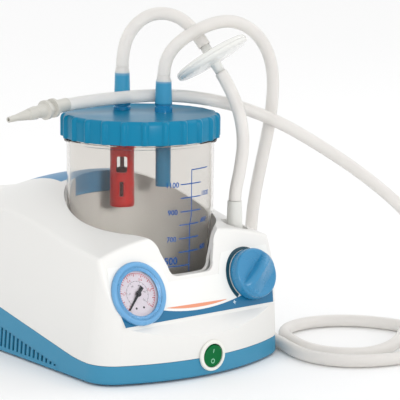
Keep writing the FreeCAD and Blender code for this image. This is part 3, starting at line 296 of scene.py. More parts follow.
def number_patch(text, centre, height, place, turn=0.0, boldness=0.0):
    """Flat digits of the given height, centred on a spot, then carried onto a surface."""
    curve = bpy.data.curves.new("digits", "FONT")
    curve.body = text
    curve.resolution_u = 3
    curve.offset = boldness
    holder = placed("digits", curve)
    bpy.context.view_layer.update()
    mesh = bpy.data.meshes.new_from_object(
        holder.evaluated_get(bpy.context.evaluated_depsgraph_get()))
    flat = np.empty(len(mesh.vertices) * 3)
    mesh.vertices.foreach_get("co", flat)
    flat = flat.reshape(-1, 3)[:, :2]
    faces = [tuple(polygon.vertices) for polygon in mesh.polygons]
    bpy.data.objects.remove(holder)
    bpy.data.curves.remove(curve)
    bpy.data.meshes.remove(mesh)
    low, high = flat.min(axis=0), flat.max(axis=0)
    flat = (flat - (low + high) / 2.0) * height / (high[1] - low[1])
    cosine, sine = math.cos(turn), math.sin(turn)
    x = centre[0] + flat[:, 0] * cosine - flat[:, 1] * sine
    y = centre[1] + flat[:, 0] * sine + flat[:, 1] * cosine
    return place(x, y), faces


def turned(profile, centre, steps=64, axis=UP):
    """Profile of (radius, height) points carried round an axis through centre."""
    axis = np.asarray(axis, float) / np.linalg.norm(axis)
    helper = np.array((1.0, 0.0, 0.0)) if abs(axis[0]) < 0.9 else np.array((0.0, 1.0, 0.0))
    first = np.cross(axis, helper)
    first /= np.linalg.norm(first)
    second = np.cross(axis, first)
    angle = np.linspace(0.0, 2.0 * np.pi, steps, endpoint=False)
    around = np.cos(angle)[:, None] * first + np.sin(angle)[:, None] * second
    profile = np.asarray(profile, float)
    points = (np.asarray(centre, float) + profile[:, 1][:, None, None] * axis
              + profile[:, 0][:, None, None] * around)
    return points.reshape(-1, 3), grid_faces(len(profile), steps, closed=True)


# ---- shader groups and materials
def new_group(name, inputs, outputs):
    """Empty shader group with its sockets, each given as (name, kind, default)."""
    group = bpy.data.node_groups.new(name, "ShaderNodeTree")
    for label, kind, default in inputs:
        socket = group.interface.new_socket(label, in_out="INPUT", socket_type=kind)
        socket.default_value = default
    for label, kind in outputs:
        group.interface.new_socket(label, in_out="OUTPUT", socket_type=kind)
    return group, group.nodes.new("NodeGroupInput"), group.nodes.new("NodeGroupOutput")


def feed(tree, value, socket):
    """Links or sets a socket, as the value is a socket or a number."""
    if isinstance(value, bpy.types.NodeSocket):
        tree.links.new(value, socket)
    else:
        socket.default_value = value


def math_node(tree, operation, *values):
    """Math node; each value is a number or a socket."""
    node = tree.nodes.new("ShaderNodeMath")
    node.operation = operation
    for socket, value in zip(node.inputs, values):
        feed(tree, value, socket)
    return node.outputs[0]


def noise_node(tree, vector, scale, detail=3.0):
    """Noise over a vector; the scale is a number or a socket."""
    node = tree.nodes.new("ShaderNodeTexNoise")
    node.inputs["Detail"].default_value = detail
    tree.links.new(vector, node.inputs["Vector"])
    feed(tree, scale, node.inputs["Scale"])
    return node.outputs["Fac"]


def scaled_colour(tree, colour, factor):
    """Colour multiplied by a factor near one."""
    node = tree.nodes.new("ShaderNodeVectorMath")
    node.operation = "SCALE"
    tree.links.new(colour, node.inputs[0])
    tree.links.new(factor, node.inputs["Scale"])
    return node.outputs[0]


FLOAT, COLOUR, VECTOR = "NodeSocketFloat", "NodeSocketColor", "NodeSocketVector"
BAND_SPACING = 0.314        # metres between the bands of a wave at scale one


def moulded_group():
    """Plastic skin: spark-eroded grain, slow shade drift, and roughness that follows both."""
    name = "Moulded Skin"
    if name in bpy.data.node_groups:
        return bpy.data.node_groups[name]
    group, source, result = new_group(
        name,
        [("Colour", COLOUR, (0.8, 0.8, 0.8, 1.0)), ("Shade Drift", FLOAT, 0.05),
         ("Grain Scale", FLOAT, 1500.0), ("Roughness", FLOAT, 0.4),
         ("Roughness Spread", FLOAT, 0.1)],
        [("Colour", COLOUR), ("Roughness", FLOAT), ("Height", FLOAT)])
    place = group.nodes.new("ShaderNodeTexCoord").outputs["Object"]
    drift = math_node(group, "SUBTRACT", noise_node(group, place, 14.0, 2.0), 0.5)
    grain = noise_node(group, place, source.outputs["Grain Scale"], 2.0)
    rub = math_node(group, "SUBTRACT", noise_node(group, place, 65.0, 4.0), 0.5)
    change = math_node(group, "MULTIPLY", drift, source.outputs["Shade Drift"])
    fine = math_node(group, "MULTIPLY", math_node(group, "SUBTRACT", grain, 0.5),
                     math_node(group, "MULTIPLY", source.outputs["Shade Drift"], 0.4))
    factor = math_node(group, "ADD", math_node(group, "ADD", change, fine), 1.0)
    shade = scaled_colour(group, source.outputs["Colour"], factor)
    rough = math_node(group, "MULTIPLY", rub, source.outputs["Roughness Spread"])
    group.links.new(shade, result.inputs["Colour"])
    group.links.new(math_node(group, "ADD", rough, source.outputs["Roughness"]),
                    result.inputs["Roughness"])
    group.links.new(grain, result.inputs["Height"])
    return group


def metal_group():
    """Machined metal: fine lines drawn out along one direction, over a slow stain."""
    name = "Machined Metal"
    if name in bpy.data.node_groups:
        return bpy.data.node_groups[name]
    group, source, result = new_group(
        name,
        [("Colour", COLOUR, (0.6, 0.6, 0.6, 1.0)), ("Line Scale", VECTOR, (60.0, 2500.0, 2500.0)),
         ("Roughness", FLOAT, 0.35), ("Stain", FLOAT, 0.15)],
        [("Colour", COLOUR), ("Roughness", FLOAT), ("Height", FLOAT)])
    place = group.nodes.new("ShaderNodeTexCoord").outputs["Object"]
    stretch = group.nodes.new("ShaderNodeVectorMath")
    stretch.operation = "MULTIPLY"
    group.links.new(place, stretch.inputs[0])
    group.links.new(source.outputs["Line Scale"], stretch.inputs[1])
    lines = noise_node(group, stretch.outputs[0], 1.0, 2.0)
    stain = math_node(group, "SUBTRACT", noise_node(group, place, 45.0, 3.0), 0.5)
    change = math_node(group, "MULTIPLY", stain, source.outputs["Stain"])
    line_shade = math_node(group, "MULTIPLY", math_node(group, "SUBTRACT", lines, 0.5), 0.2)
    factor = math_node(group, "ADD", math_node(group, "ADD", change, line_shade), 1.0)
    shade = scaled_colour(group, source.outputs["Colour"], factor)
    rough = math_node(group, "ADD", math_node(group, "MULTIPLY", line_shade, 1.2),
                      source.outputs["Roughness"])
    group.links.new(shade, result.inputs["Colour"])
    group.links.new(rough, result.inputs["Roughness"])
    group.links.new(lines, result.inputs["Height"])
    return group


def material_with(name, group, values, bump, **shader_values):
    """Material whose Principled shader takes colour, roughness and bump from a group."""
    material = bpy.data.materials.new(name)
    material.use_nodes = True
    tree = material.node_tree
    shader = tree.nodes["Principled BSDF"]
    node = tree.nodes.new("ShaderNodeGroup")
    node.node_tree = group
    for label, value in values.items():
        node.inputs[label].default_value = value
    tree.links.new(node.outputs["Colour"], shader.inputs["Base Color"])
    tree.links.new(node.outputs["Roughness"], shader.inputs["Roughness"])
    if bump:
        dent = tree.nodes.new("ShaderNodeBump")
        dent.inputs["Strength"].default_value = bump
        dent.inputs["Distance"].default_value = 0.0001
        tree.links.new(node.outputs["Height"], dent.inputs["Height"])
        tree.links.new(dent.outputs["Normal"], shader.inputs["Normal"])
    for label, value in shader_values.items():
        shader.inputs[label.replace("_", " ")].default_value = value
    return material


def solid_colour(colour):
    """The colour, opaque; one with values over 1 is in display values of 0 to 255."""
    if max(colour) > 1.0:
        colour = display_colour(*colour)
    return (colour[0], colour[1], colour[2], 1.0)


def moulded(name, colour, roughness=0.38, drift=0.05, grain=1500.0, spread=0.12, bump=0.25,
            **shader_values):
    """Plastic with the moulded skin."""
    values = {"Colour": solid_colour(colour), "Shade Drift": drift, "Grain Scale": grain,
              "Roughness": roughness, "Roughness Spread": spread}
    return material_with(name, moulded_group(), values, bump, **shader_values)


def metal(name, colour, roughness=0.32, lines=(60.0, 2500.0, 2500.0), stain=0.2, bump=0.2,
          **shader_values):
    """Metal with machined lines."""
    values = {"Colour": solid_colour(colour), "Line Scale": lines, "Roughness": roughness,
              "Stain": stain}
    return material_with(name, metal_group(), values, bump, Metallic=1.0, **shader_values)


def silicone(name, colour, transmission):
    """Milky silicone with a soft sheen."""
    return moulded(name, colour, 0.3, 0.05, 260.0, 0.1, 0.06, Transmission_Weight=transmission,
                   IOR=1.3, Coat_Weight=0.2, Coat_Roughness=0.12)


def printed(name, colour, **shader_values):
    """Thin ink on the panel film."""
    return moulded(name, colour, 0.3, 0.03, 2400.0, 0.05, 0.05, **shader_values)


def clear(name, colour, roughness=0.04, ior=1.4, transmission=1.0, drift=0.02):
    """See-through plastic; light passes it on the way to what stands behind."""
    material = moulded(name, colour, roughness, drift, 900.0, 0.03, 0.0,
                       Transmission_Weight=transmission, IOR=ior)
    tree = material.node_tree
    shader = tree.nodes["Principled BSDF"]
    output = tree.nodes["Material Output"]
    passing = tree.nodes.new("ShaderNodeBsdfTransparent")
    passing.inputs["Color"].default_value = (1.0, 1.0, 1.0, 1.0)
    path = tree.nodes.new("ShaderNodeLightPath")
    mix = tree.nodes.new("ShaderNodeMixShader")
    tree.links.new(path.outputs["Is Shadow Ray"], mix.inputs["Fac"])
    tree.links.new(shader.outputs["BSDF"], mix.inputs[1])
    tree.links.new(passing.outputs["BSDF"], mix.inputs[2])
    tree.links.new(mix.outputs["Shader"], output.inputs["Surface"])
    return material


def striped_metal(name, colour, direction, pitch, metallic, roughness, dark=0.45):
    """Stacked sheets or wound wire: waves of one pitch along a direction, dark between them."""
    material = metal(name, colour, roughness) if metallic else moulded(name, colour, roughness)
    tree = material.node_tree
    shader = tree.nodes["Principled BSDF"]
    wave = tree.nodes.new("ShaderNodeTexWave")
    wave.bands_direction = direction
    wave.inputs["Scale"].default_value = BAND_SPACING / pitch
    wave.inputs["Distortion"].default_value = 0.4
    coordinate = tree.nodes.new("ShaderNodeTexCoord")
    tree.links.new(coordinate.outputs["Object"], wave.inputs["Vector"])
    shade = math_node(tree, "MULTIPLY_ADD", wave.outputs["Fac"], 1.0 - dark, dark)
    source = shader.inputs["Base Color"].links[0].from_socket
    tree.links.new(scaled_colour(tree, source, shade), shader.inputs["Base Color"])
    dent = tree.nodes.new("ShaderNodeBump")
    dent.inputs["Strength"].default_value = 0.8
    dent.inputs["Distance"].default_value = pitch * 0.3
    tree.links.new(wave.outputs["Fac"], dent.inputs["Height"])
    tree.links.new(dent.outputs["Normal"], shader.inputs["Normal"])
    return material


def dress(material, *nodes):
    """Gives each named CAD node this material in place of its plain one."""
    for name in nodes:
        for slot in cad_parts[name].material_slots:
            slot.material = material


# ---- operators
class PumpStep:
    """Shared base: reads the sizes and colours that the panel shows."""
    bl_options = {"REGISTER", "UNDO"}

    @staticmethod
    def settings(context):
        return context.scene.suction_pump_sizes, context.scene.suction_pump_colours


class SUCTIONPUMP_OT_stage(PumpStep, bpy.types.Operator):
    """Set up the view, the pale floor and the soft studio light"""
    bl_idname = "suction_pump.stage"
    bl_label = "Stage"

    def execute(self, context):
        scene = context.scene
        self.set_view(scene)
        self.lay_floor(self.settings(context)[1].floor)
        self.set_light(scene)
        return {"FINISHED"}

    @staticmethod
    def set_view(scene):
        """View from the front left and a little above."""
        camera = placed("camera", bpy.data.cameras.new("camera"))
        camera.data.lens = 164.4
        camera.data.sensor_width = 36.0
        camera.data.clip_end = 50.0
        yaw, pitch, roll = math.radians(39.16), math.radians(9.90), 0.00976
        turn = (Matrix.Rotation(-yaw, 4, "Z") @ Matrix.Rotation(math.pi / 2.0 - pitch, 4, "X")
                @ Matrix.Rotation(roll, 4, "Z"))
        camera.matrix_world = Matrix.Translation((-0.8516, -1.2030, 0.3678)) @ turn
        scene.camera = camera

    @staticmethod
    def lay_floor(colour):
        """Square floor, far wider than the view."""
        reach = 12.0
        mesh = bpy.data.meshes.new("floor")
        mesh.from_pydata([(-reach, -reach, 0), (reach, -reach, 0), (reach, reach, 0),
                          (-reach, reach, 0)], [], [(0, 1, 2, 3)])
        mesh.materials.append(moulded("floor paint", colour, 0.7, 0.004, 300.0, 0.05, 0.0))
        floor = placed("floor", mesh)
        floor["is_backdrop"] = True

    def set_light(self, scene):
        """White surroundings, a broad fill light, a front light and a spot on the jar."""
        world = bpy.data.worlds.new("studio")
        scene.world = world
        world.use_nodes = True
        background = world.node_tree.nodes["Background"]
        background.inputs["Color"].default_value = (1.0, 1.0, 1.0, 1.0)
        background.inputs["Strength"].default_value = 1.0
        scene.view_settings.view_transform = "Standard"
        fill = self.lamp("fill light", "AREA", (1.6, -0.7, 1.5), (0.0, -0.05, 0.1), 6.0)
        fill.size = 1.4
        front = self.lamp("front light", "AREA", (-0.35, -1.0, 0.42), (0.0, -0.04, 0.13), 0.8)
        front.size = 0.35
        jar_spot = self.lamp("jar light", "SPOT", (-0.45, -1.3, 0.40), (0.0, -0.06, 0.115), 22.0)
        jar_spot.spot_size = math.radians(9.5)
        jar_spot.spot_blend = 0.8
        jar_spot.shadow_soft_size = 0.1

    @staticmethod
    def lamp(name, kind, place, target, power):
        """Light at place, turned so that it shines on target; returns its data."""
        data = bpy.data.lights.new(name, kind)
        data.energy = power
        lamp = placed(name, data)
        place = np.array(place)
        back = (place - np.array(target)) / np.linalg.norm(place - np.array(target))
        right = np.cross(UP, back)
        right /= np.linalg.norm(right)
        above = np.cross(back, right)
        matrix = Matrix.Identity(4)
        for column, axis in enumerate((right, above, back, place)):
            for row in range(3):
                matrix[row][column] = axis[row]
        lamp.matrix_world = matrix
        return data


class SUCTIONPUMP_OT_hoses(PumpStep, bpy.types.Operator):
    """Lay the three silicone hoses and fit their stretched ends on the nozzles"""
    bl_idname = "suction_pump.hoses"
    bl_label = "Hoses"

    def execute(self, context):
        sizes, colours = self.settings(context)
        milky = silicone("milky silicone", colours.hose, 0.35)
        sleeves = self.sleeves(sizes, colours)
        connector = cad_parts["conical_connector"]
        shells = [*self.filter_shells(colours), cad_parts["filter_membrane"]]
        self.hose(sizes, "silicone_vacuum_hose", VACUUM_HOSE, "vacuum_hose", 0.102,
                  milky, [sleeves[0], *shells])
        self.hose(sizes, "silicone_filter_hose", FILTER_HOSE, "filter_hose", 0.104,
                  milky, [])
        self.hose(sizes, "silicone_patient_hose", PATIENT_HOSE, "patient_hose", 1.367,
                  milky, [sleeves[1], connector])
        return {"FINISHED"}

    @staticmethod
    def hose(sizes, name, route, node, real_length, material, pieces):
        """Round hose on one smooth spline whose control points are the route's."""
        curve = bpy.data.curves.new(name, "CURVE")
        curve.dimensions = "3D"
        curve.bevel_depth = sizes.hose_radius
        curve.bevel_resolution = 7
        curve.resolution_u = 10
        curve.use_fill_caps = True
        spline = curve.splines.new("NURBS")
        spline.points.add(len(route) - 1)
        for point, place in zip(spline.points, route):
            point.co = (place[0] * MM, place[1] * MM, place[2] * MM, 1.0)
        spline.order_u = 3
        spline.use_endpoint_u = True
        curve.materials.append(material)
        piece = placed(name, curve)
        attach(piece, "lid")
        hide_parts(node)
        [value * MM for value in route[0]]
        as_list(pieces)
        return piece

    @staticmethod
    def filter_shells(colours):
        """Two round shells that meet at a thick rim, each with a spigot for its hose."""
        plastic = moulded("filter plastic", colours.filter, 0.2, 0.04, 500.0, 0.1, 0.08,
                          Transmission_Weight=0.2, IOR=1.3, Coat_Weight=0.2)
        rim = [(5.0, 5.0), (14.0, 4.8), (23.0, 4.3), (28.0, 3.5), (29.9, 2.8), (30.8, 1.8),
               (31.0, 0.8), (31.0, 0.03), (27.2, 0.03), (27.2, 1.6), (2.0, 2.8)]
        made = []
        for name, node, side, spigot in (("filter_shell_upper", "filter_upper", -1.0, 11.0),
                                         ("filter_shell_lower", "filter_lower", 1.0, 13.5)):
            outline = [(2.0, spigot), (3.9, spigot), (4.3, 5.8)] + rim + [(2.0, spigot)]
            profile = [(radius, side * height) for radius, height in outline]
            piece = mesh_piece(name, *turned(profile, FILTER_CENTRE, 72, FILTER_AXIS), "lid",
                               "filter_clear", plastic)
            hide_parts(node)
            made.append(piece)
        return made

    @staticmethod
    def sleeve_skin(colours):
        """Silicone that turns blue where the nozzle shows through."""
        material = silicone("sleeve silicone", colours.hose, 0.3)
        tree = material.node_tree
        shader = tree.nodes["Principled BSDF"]
        ramp = tree.nodes.new("ShaderNodeAttribute")
        ramp.attribute_name = "nozzle_shows"
        mix = tree.nodes.new("ShaderNodeMix")
        mix.data_type = "RGBA"
        mix.inputs[7].default_value = solid_colour((66, 172, 214))
        source = shader.inputs["Base Color"].links[0].from_socket
        tree.links.new(ramp.outputs["Fac"], mix.inputs[0])
        tree.links.new(source, mix.inputs[6])
        tree.links.new(mix.outputs[2], shader.inputs["Base Color"])
        return material

    def sleeves(self, sizes, colours):
        """Hose ends drawn over the lid's nozzles, from foot radius to tip radius."""
        material = self.sleeve_skin(colours)
        wall = sizes.sleeve_wall / MM
        nozzles = (("vacuum_sleeve", (3.0, -55.5), 194.0, 219.0, 6.0, 5.4),
                   ("patient_sleeve", (19.6, -87.1), 196.3, 214.0, 6.35, 5.7))
        made = []
        for name, spot, low, high, foot, tip in nozzles:
            share = np.linspace(0.0, 1.0, 12)
            heights = low + (high - low) * share
            radii = foot + (tip - foot) * share + wall
            profile = [(foot + 0.06, low)] + list(zip(radii, heights))
            profile += [(tip + wall, high + 0.5), (5.5, high + 2.2), (5.15, high + 4.0),
                        (5.02, high + 5.0), (tip - 1.2, high + 5.0), (foot - 1.0, low),
                        (foot + 0.06, low)]
            points, faces = turned(profile, (spot[0], spot[1], 0.0), 48)
            piece = mesh_piece(name, points, faces, "lid", "silicone_hose", material)
            heights = np.array([vertex.co.z for vertex in piece.data.vertices]) / MM
            shows = np.clip((high + 0.6 - heights) / 0.8, 0.0, 1.0)
            layer = piece.data.attributes.new("nozzle_shows", "FLOAT", "POINT")
            layer.data.foreach_set("value", shows.astype(np.float32))
            made.append(piece)
        return made


class SUCTIONPUMP_OT_housing(PumpStep, bpy.types.Operator):
    """Finish the shell, base, handle, feet and screws"""
    bl_idname = "suction_pump.housing"
    bl_label = "Housing"

    def execute(self, context):
        colours = self.settings(context)[1]
        dress(moulded("white shell plastic", colours.shell, 0.36, 0.02, 1700.0, 0.1, 0.12,
                      Coat_Weight=0.12, Coat_Roughness=0.25), "top_shell")
        dress(moulded("blue base plastic", colours.base, 0.42, 0.06, 1500.0, 0.12, 0.2),
              "base_tray")
        dress(moulded("handle plastic", colours.handle, 0.4, 0.06, 1500.0, 0.12, 0.2),
              "carry_handle")
        dress(moulded("foot rubber", (38, 38, 40), 0.75, 0.2, 900.0, 0.15, 0.6), "rubber_feet",
              "rubber_mounts", "vacuum_line")
        dress(metal("screw steel", (150, 150, 152), 0.35), "housing_screws", "head_screws")
        return {"FINISHED"}


class SUCTIONPUMP_OT_panel_print(PumpStep, bpy.types.Operator):
    """Print the band, the accent and the knob's arc on the panel film"""
    bl_idname = "suction_pump.panel_print"
    bl_label = "Panel Print"

    def execute(self, context):
        sizes, colours = self.settings(context)
        dress(moulded("label film", (234, 234, 231), 0.3, 0.01, 2400.0, 0.05, 0.05,
                      Coat_Weight=0.2), "panel_label")
        lift = LABEL_TOP + sizes.ink_lift / MM
        above = lift + 0.05
        prints = (
            ("panel_band", self.band_shape(lift),
             printed("band ink", colours.band, Coat_Weight=0.2)),
            ("panel_accent", self.accent_shape(lift), printed("accent ink", colours.accent)),
            ("knob_arc", self.arc_shape(above), printed("arc ink", colours.dark_arc)),
            ("knob_plus", self.plus_shape(above),
             moulded("white ink", (215, 232, 240), 0.35)),
        )
        for name, shape, ink in prints:
            mesh_piece(name, *shape, "housing", "label_film", ink, smooth=False)
        return {"FINISHED"}

    @staticmethod
    def band_shape(lift):
        """Band along the film's foot, left open round the gauge and the knob.

        Its top rises with the square of x, and its ends follow the film's leaning sides.
        """
        def point(s, t):
            side = 2.0 * s - 1.0
            x = side * 76.0
            top = 6.7 + np.where(x < 0.0, 0.0031, 0.0027) * x ** 2
            v = BAND_FOOT + (top - BAND_FOOT) * t
            return on_panel(side * (71.7 + 6.4 * (v - 2.2) / 29.8), v, lift)

        points, faces = patch(160, 12, point)
        middle = points[faces].mean(axis=1)
        kept = np.linalg.norm(middle - on_panel(*GAUGE_SPOT, lift), axis=1) > GAUGE_CLEAR
        kept &= np.linalg.norm(middle - on_panel(*KNOB_SPOT, lift), axis=1) > KNOB_CLEAR
        return points, faces[kept]

    @staticmethod
    def accent_shape(lift):
        """Lens: the top edge is straight, the lower edge sags by a sine of the length."""
        def point(s, t):
            top = 12.1 - 1.2 * s
            depth = 2.7 * np.sin(np.pi * s) ** 0.8
            return on_panel(-32.0 + 59.5 * s, top - depth * (1.0 - t), lift)
        return patch(60, 4, point)

    @staticmethod
    def arc_shape(lift):
        """Crescent round the knob: it widens with a root of the way from its upper end."""
        def point(s, t):
            angle = np.radians(-133.0 + 155.0 * s)
            radius = ARC_RADIUS + ARC_WIDTH * t * np.clip((1.0 - s) * 3.0, 0.0, 1.0) ** 0.5
            return on_panel(KNOB_SPOT[0] + radius * np.sin(angle),
                            KNOB_SPOT[1] + radius * np.cos(angle), lift)
        return patch(80, 3, point)

    @staticmethod
    def plus_shape(lift):
        """Plus sign of two crossed bars."""
        def place(x, v):
            return on_panel(x, v, lift)
        return joined([bar_patch((32.2, 7.6), (35.2, 7.6), 0.6, place),
                       bar_patch((33.7, 6.1), (33.7, 9.1), 0.6, place)])


class SUCTIONPUMP_OT_gauge(PumpStep, bpy.types.Operator):
    """Finish the vacuum gauge and print its dial"""
    bl_idname = "suction_pump.gauge"
    bl_label = "Gauge"

    def execute(self, context):
        sizes, colours = self.settings(context)
        dress(moulded("gauge cup plastic", (45, 47, 52), 0.4), "gauge_case")
        plastic = moulded("gauge ring plastic", colours.bezel, 0.28, 0.05, 1800.0, 0.08, 0.08,
                          Coat_Weight=0.2, Coat_Roughness=0.1)
        ring = mesh_piece("gauge_ring", *self.ring_shape(), "housing", "gauge_blue", plastic)
        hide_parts("gauge_bezel")
        dress(moulded("dial enamel", (214, 203, 208), 0.45, 0.02), "gauge_dial")
        dress(moulded("needle enamel", (28, 28, 32), 0.4), "gauge_needle")
        dress(clear("gauge glass plastic", (248, 250, 252), 0.03, 1.15), "gauge_glass")
        dress(metal("spring brass", (200, 165, 95), 0.3), "bourdon_tube", "gauge_movement",
              "regulator_valve")
        dress(metal("turned steel", (175, 175, 178), 0.28), "regulator_spindle", "motor_shaft")

        def on_dial(x, v):
            return on_panel(GAUGE_SPOT[0] + x, GAUGE_SPOT[1] + v,
                            -DIAL_DEPTH + sizes.ink_lift / MM)

        red = [ring_patch((0, 0), 15.7, 16.05, DIAL_START, -DIAL_START, 90, on_dial)]
        red += self.ticks(sizes.dial_ticks, 4, (13.4, 0.62), (14.4, 0.4), 15.9, on_dial)
        red += self.numbers(RED_NUMBERS, 11.7, 1.9, 0.35, on_dial)
        black = [ring_patch((0, 0), 9.7, 9.88, DIAL_START, -DIAL_START, 80, on_dial)]
        black += self.ticks(15, 3, (8.6, 0.22), (9.1, 0.22), 9.8, on_dial)
        black += self.numbers(BLACK_NUMBERS, 6.9, 1.15, 0.3, on_dial)
        for x in (-3.4, 3.4):
            black.append(ring_patch((x, -10.4), 0.0, 0.85, 0.0, 360.0, 24, on_dial))
        for name, parts, colour in (("red", red, (186, 44, 58)), ("black", black, (42, 40, 46))):
            ink = moulded(f"dial {name} ink", colour, 0.4, 0.02)
            mesh_piece(f"dial_{name}_print", *joined(parts), "housing", "dial_white", ink,
                       smooth=False)
        return {"FINISHED"}

    @staticmethod
    def ticks(steps, every, long_tick, short_tick, outer, place):
        """Ticks over the sweep; a tick is (inner radius, width), and every so many is long."""
        parts = []
        for index in range(steps + 1):
            turn = math.radians(DIAL_START + DIAL_SWEEP * index / steps)
            inner, width = long_tick if index % every == 0 else short_tick
            direction = np.array((math.sin(turn), math.cos(turn)))
            parts.append(bar_patch(direction * inner, direction * outer, width, place))
        return parts

    @staticmethod
    def numbers(texts, radius, height, lean, place):
        """Numbers over the sweep, each leaning by a share of its angle on the dial."""
        parts = []
        for index, text in enumerate(texts):
            turn = math.radians(DIAL_START + DIAL_SWEEP * index / (len(texts) - 1))
            spot = (radius * math.sin(turn), radius * math.cos(turn))
            parts.append(number_patch(text, spot, height, place, -turn * lean))
        return parts

    @staticmethod
    def ring_shape():
        """Ring round the gauge: a half-round lip that falls inwards to the rim of the glass."""
        lip = np.radians(np.linspace(-10.0, 150.0, 14))
        outside = [(24.0, 0.5), (24.0, 1.6)]
        crown = [(21.9 + 2.1 * math.cos(angle), 2.2 + 1.9 * math.sin(angle)) for angle in lip]
        inside = [(18.6, 2.6), (17.1, 2.2), (16.9, 2.0), (19.8, 0.9), (19.8, 0.5), (24.0, 0.5)]
        return turned(outside + crown + inside, on_panel(*GAUGE_SPOT), 96, PANEL_OUT)


class SUCTIONPUMP_OT_controls(PumpStep, bpy.types.Operator):
    """Finish the regulator knob, the rocker switch with its marks and the inlet port"""
    bl_idname = "suction_pump.controls"
    bl_label = "Controls"

    def execute(self, context):
        sizes, colours = self.settings(context)
        plastic = moulded("knob plastic", colours.knob, 0.28, 0.06, 1500.0, 0.1, 0.14,
                          Coat_Weight=0.25, Coat_Roughness=0.15)
        knob = mesh_piece("finned_knob", *self.knob_shape(), "knob", "knob_blue", plastic)
        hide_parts("regulator_knob")
        dress(moulded("switch ring plastic", (233, 233, 226), 0.35, 0.03), "switch_bezel")
        dress(moulded("rocker plastic", colours.rocker, 0.3, 0.1, 700.0, 0.05, 0.04,
                      Specular_IOR_Level=0.12), "switch_rocker")
        dress(moulded("black nylon", (30, 30, 32), 0.45, 0.08), "switch_body", "mains_inlet",
              "fuse_drawer", "exhaust_muffler")
        dress(moulded("port plastic", (236, 236, 231), 0.3, 0.05, 700.0, 0.1, 0.08,
                      Transmission_Weight=0.2, Coat_Weight=0.2), "inlet_fitting")

        mesh_piece("rocker_marks", *self.marks_shape(sizes.ink_lift / MM), "rocker",
                   "switch_green", moulded("pale green ink", (150, 214, 182), 0.4),
                   smooth=False)
        return {"FINISHED"}

    @staticmethod
    def marks_shape(lift):
        """Bar above and ring below on the face, which hollows as a cylinder does."""
        def place(x, z):
            x, z = np.asarray(x, float), np.asarray(z, float)
            hollow = ROCKER_HOLLOW - np.sqrt(ROCKER_HOLLOW ** 2 - z ** 2)
            y = -(ROCKER_FACE + lift) - hollow
            turned_y = y * math.cos(ROCKER_TILT) - z * math.sin(ROCKER_TILT)
            turned_z = y * math.sin(ROCKER_TILT) + z * math.cos(ROCKER_TILT)
            return ROCKER_CENTRE + np.stack((x + 0 * z, turned_y + 0 * x, turned_z + 0 * x), -1)
        return joined([bar_patch((0.0, 2.4), (0.0, 5.6), 0.6, place),
                       ring_patch((0.0, -4.0), 1.25, 1.8, 0.0, 360.0, 40, place)])

    @staticmethod
    def knob_shape():
        """Knob in polar rings: straight skirt, rounded shoulder and a face with a grip fin.

        The fin's height falls with the square of the distance along it; across it one flank is
        a quarter circle and the other a straight ramp. A shallow dish surrounds it.
        """
        columns = 168
        angle = np.linspace(0.0, 2.0 * np.pi, columns, endpoint=False)
        shoulder = np.radians(np.linspace(0.0, 90.0, 8))
        radii = np.concatenate(([0.0, 19.6, 20.0, 20.0, 19.5], 17.6 + 1.8 * np.cos(shoulder),
                                np.linspace(17.2, 0.0, FACE_RINGS)))
        heights = np.concatenate(([1.2, 1.2, 1.5, 2.6, 7.4], 8.2 + 1.8 * np.sin(shoulder),
                                  np.full(FACE_RINGS, 10.0)))
        radius, turn = np.meshgrid(radii, angle, indexing="ij")
        height = np.repeat(heights[:, None], columns, axis=1)
        x, y = radius * np.cos(turn), radius * np.sin(turn)
        along = x * math.cos(FIN_LEAN) + y * math.sin(FIN_LEAN)
        across = y * math.cos(FIN_LEAN) - x * math.sin(FIN_LEAN)
        length_share = np.clip(1.0 - (along / FIN_HALF_LENGTH) ** 2, 0.0, 1.0)
        steep = np.sqrt(np.clip(1.0 - (np.clip(across, 0.0, None) / FLANK_RADIUS) ** 2, 0.0, 1.0))
        gentle = np.clip(1.0 - np.clip(-across - RAMP_START, 0.0, None) / RAMP_LENGTH, 0.0, 1.0)
        body = np.where(across > 0.0, steep, gentle)
        dish = DISH_DEPTH * np.clip(1.0 - (radius / DISH_RADIUS) ** 2, 0.0, 1.0)
        face = np.zeros_like(height)
        face[-(FACE_RINGS + 1):] = 1.0      # the face and the last ring of the shoulder
        height = height + face * (FIN_HEIGHT * length_share ** 0.5 * body - dish * (1.0 - body))
        points = on_panel(KNOB_SPOT[0] + x, KNOB_SPOT[1] + y, height)
        return points.reshape(-1, 3), grid_faces(len(radii), columns, closed=True)


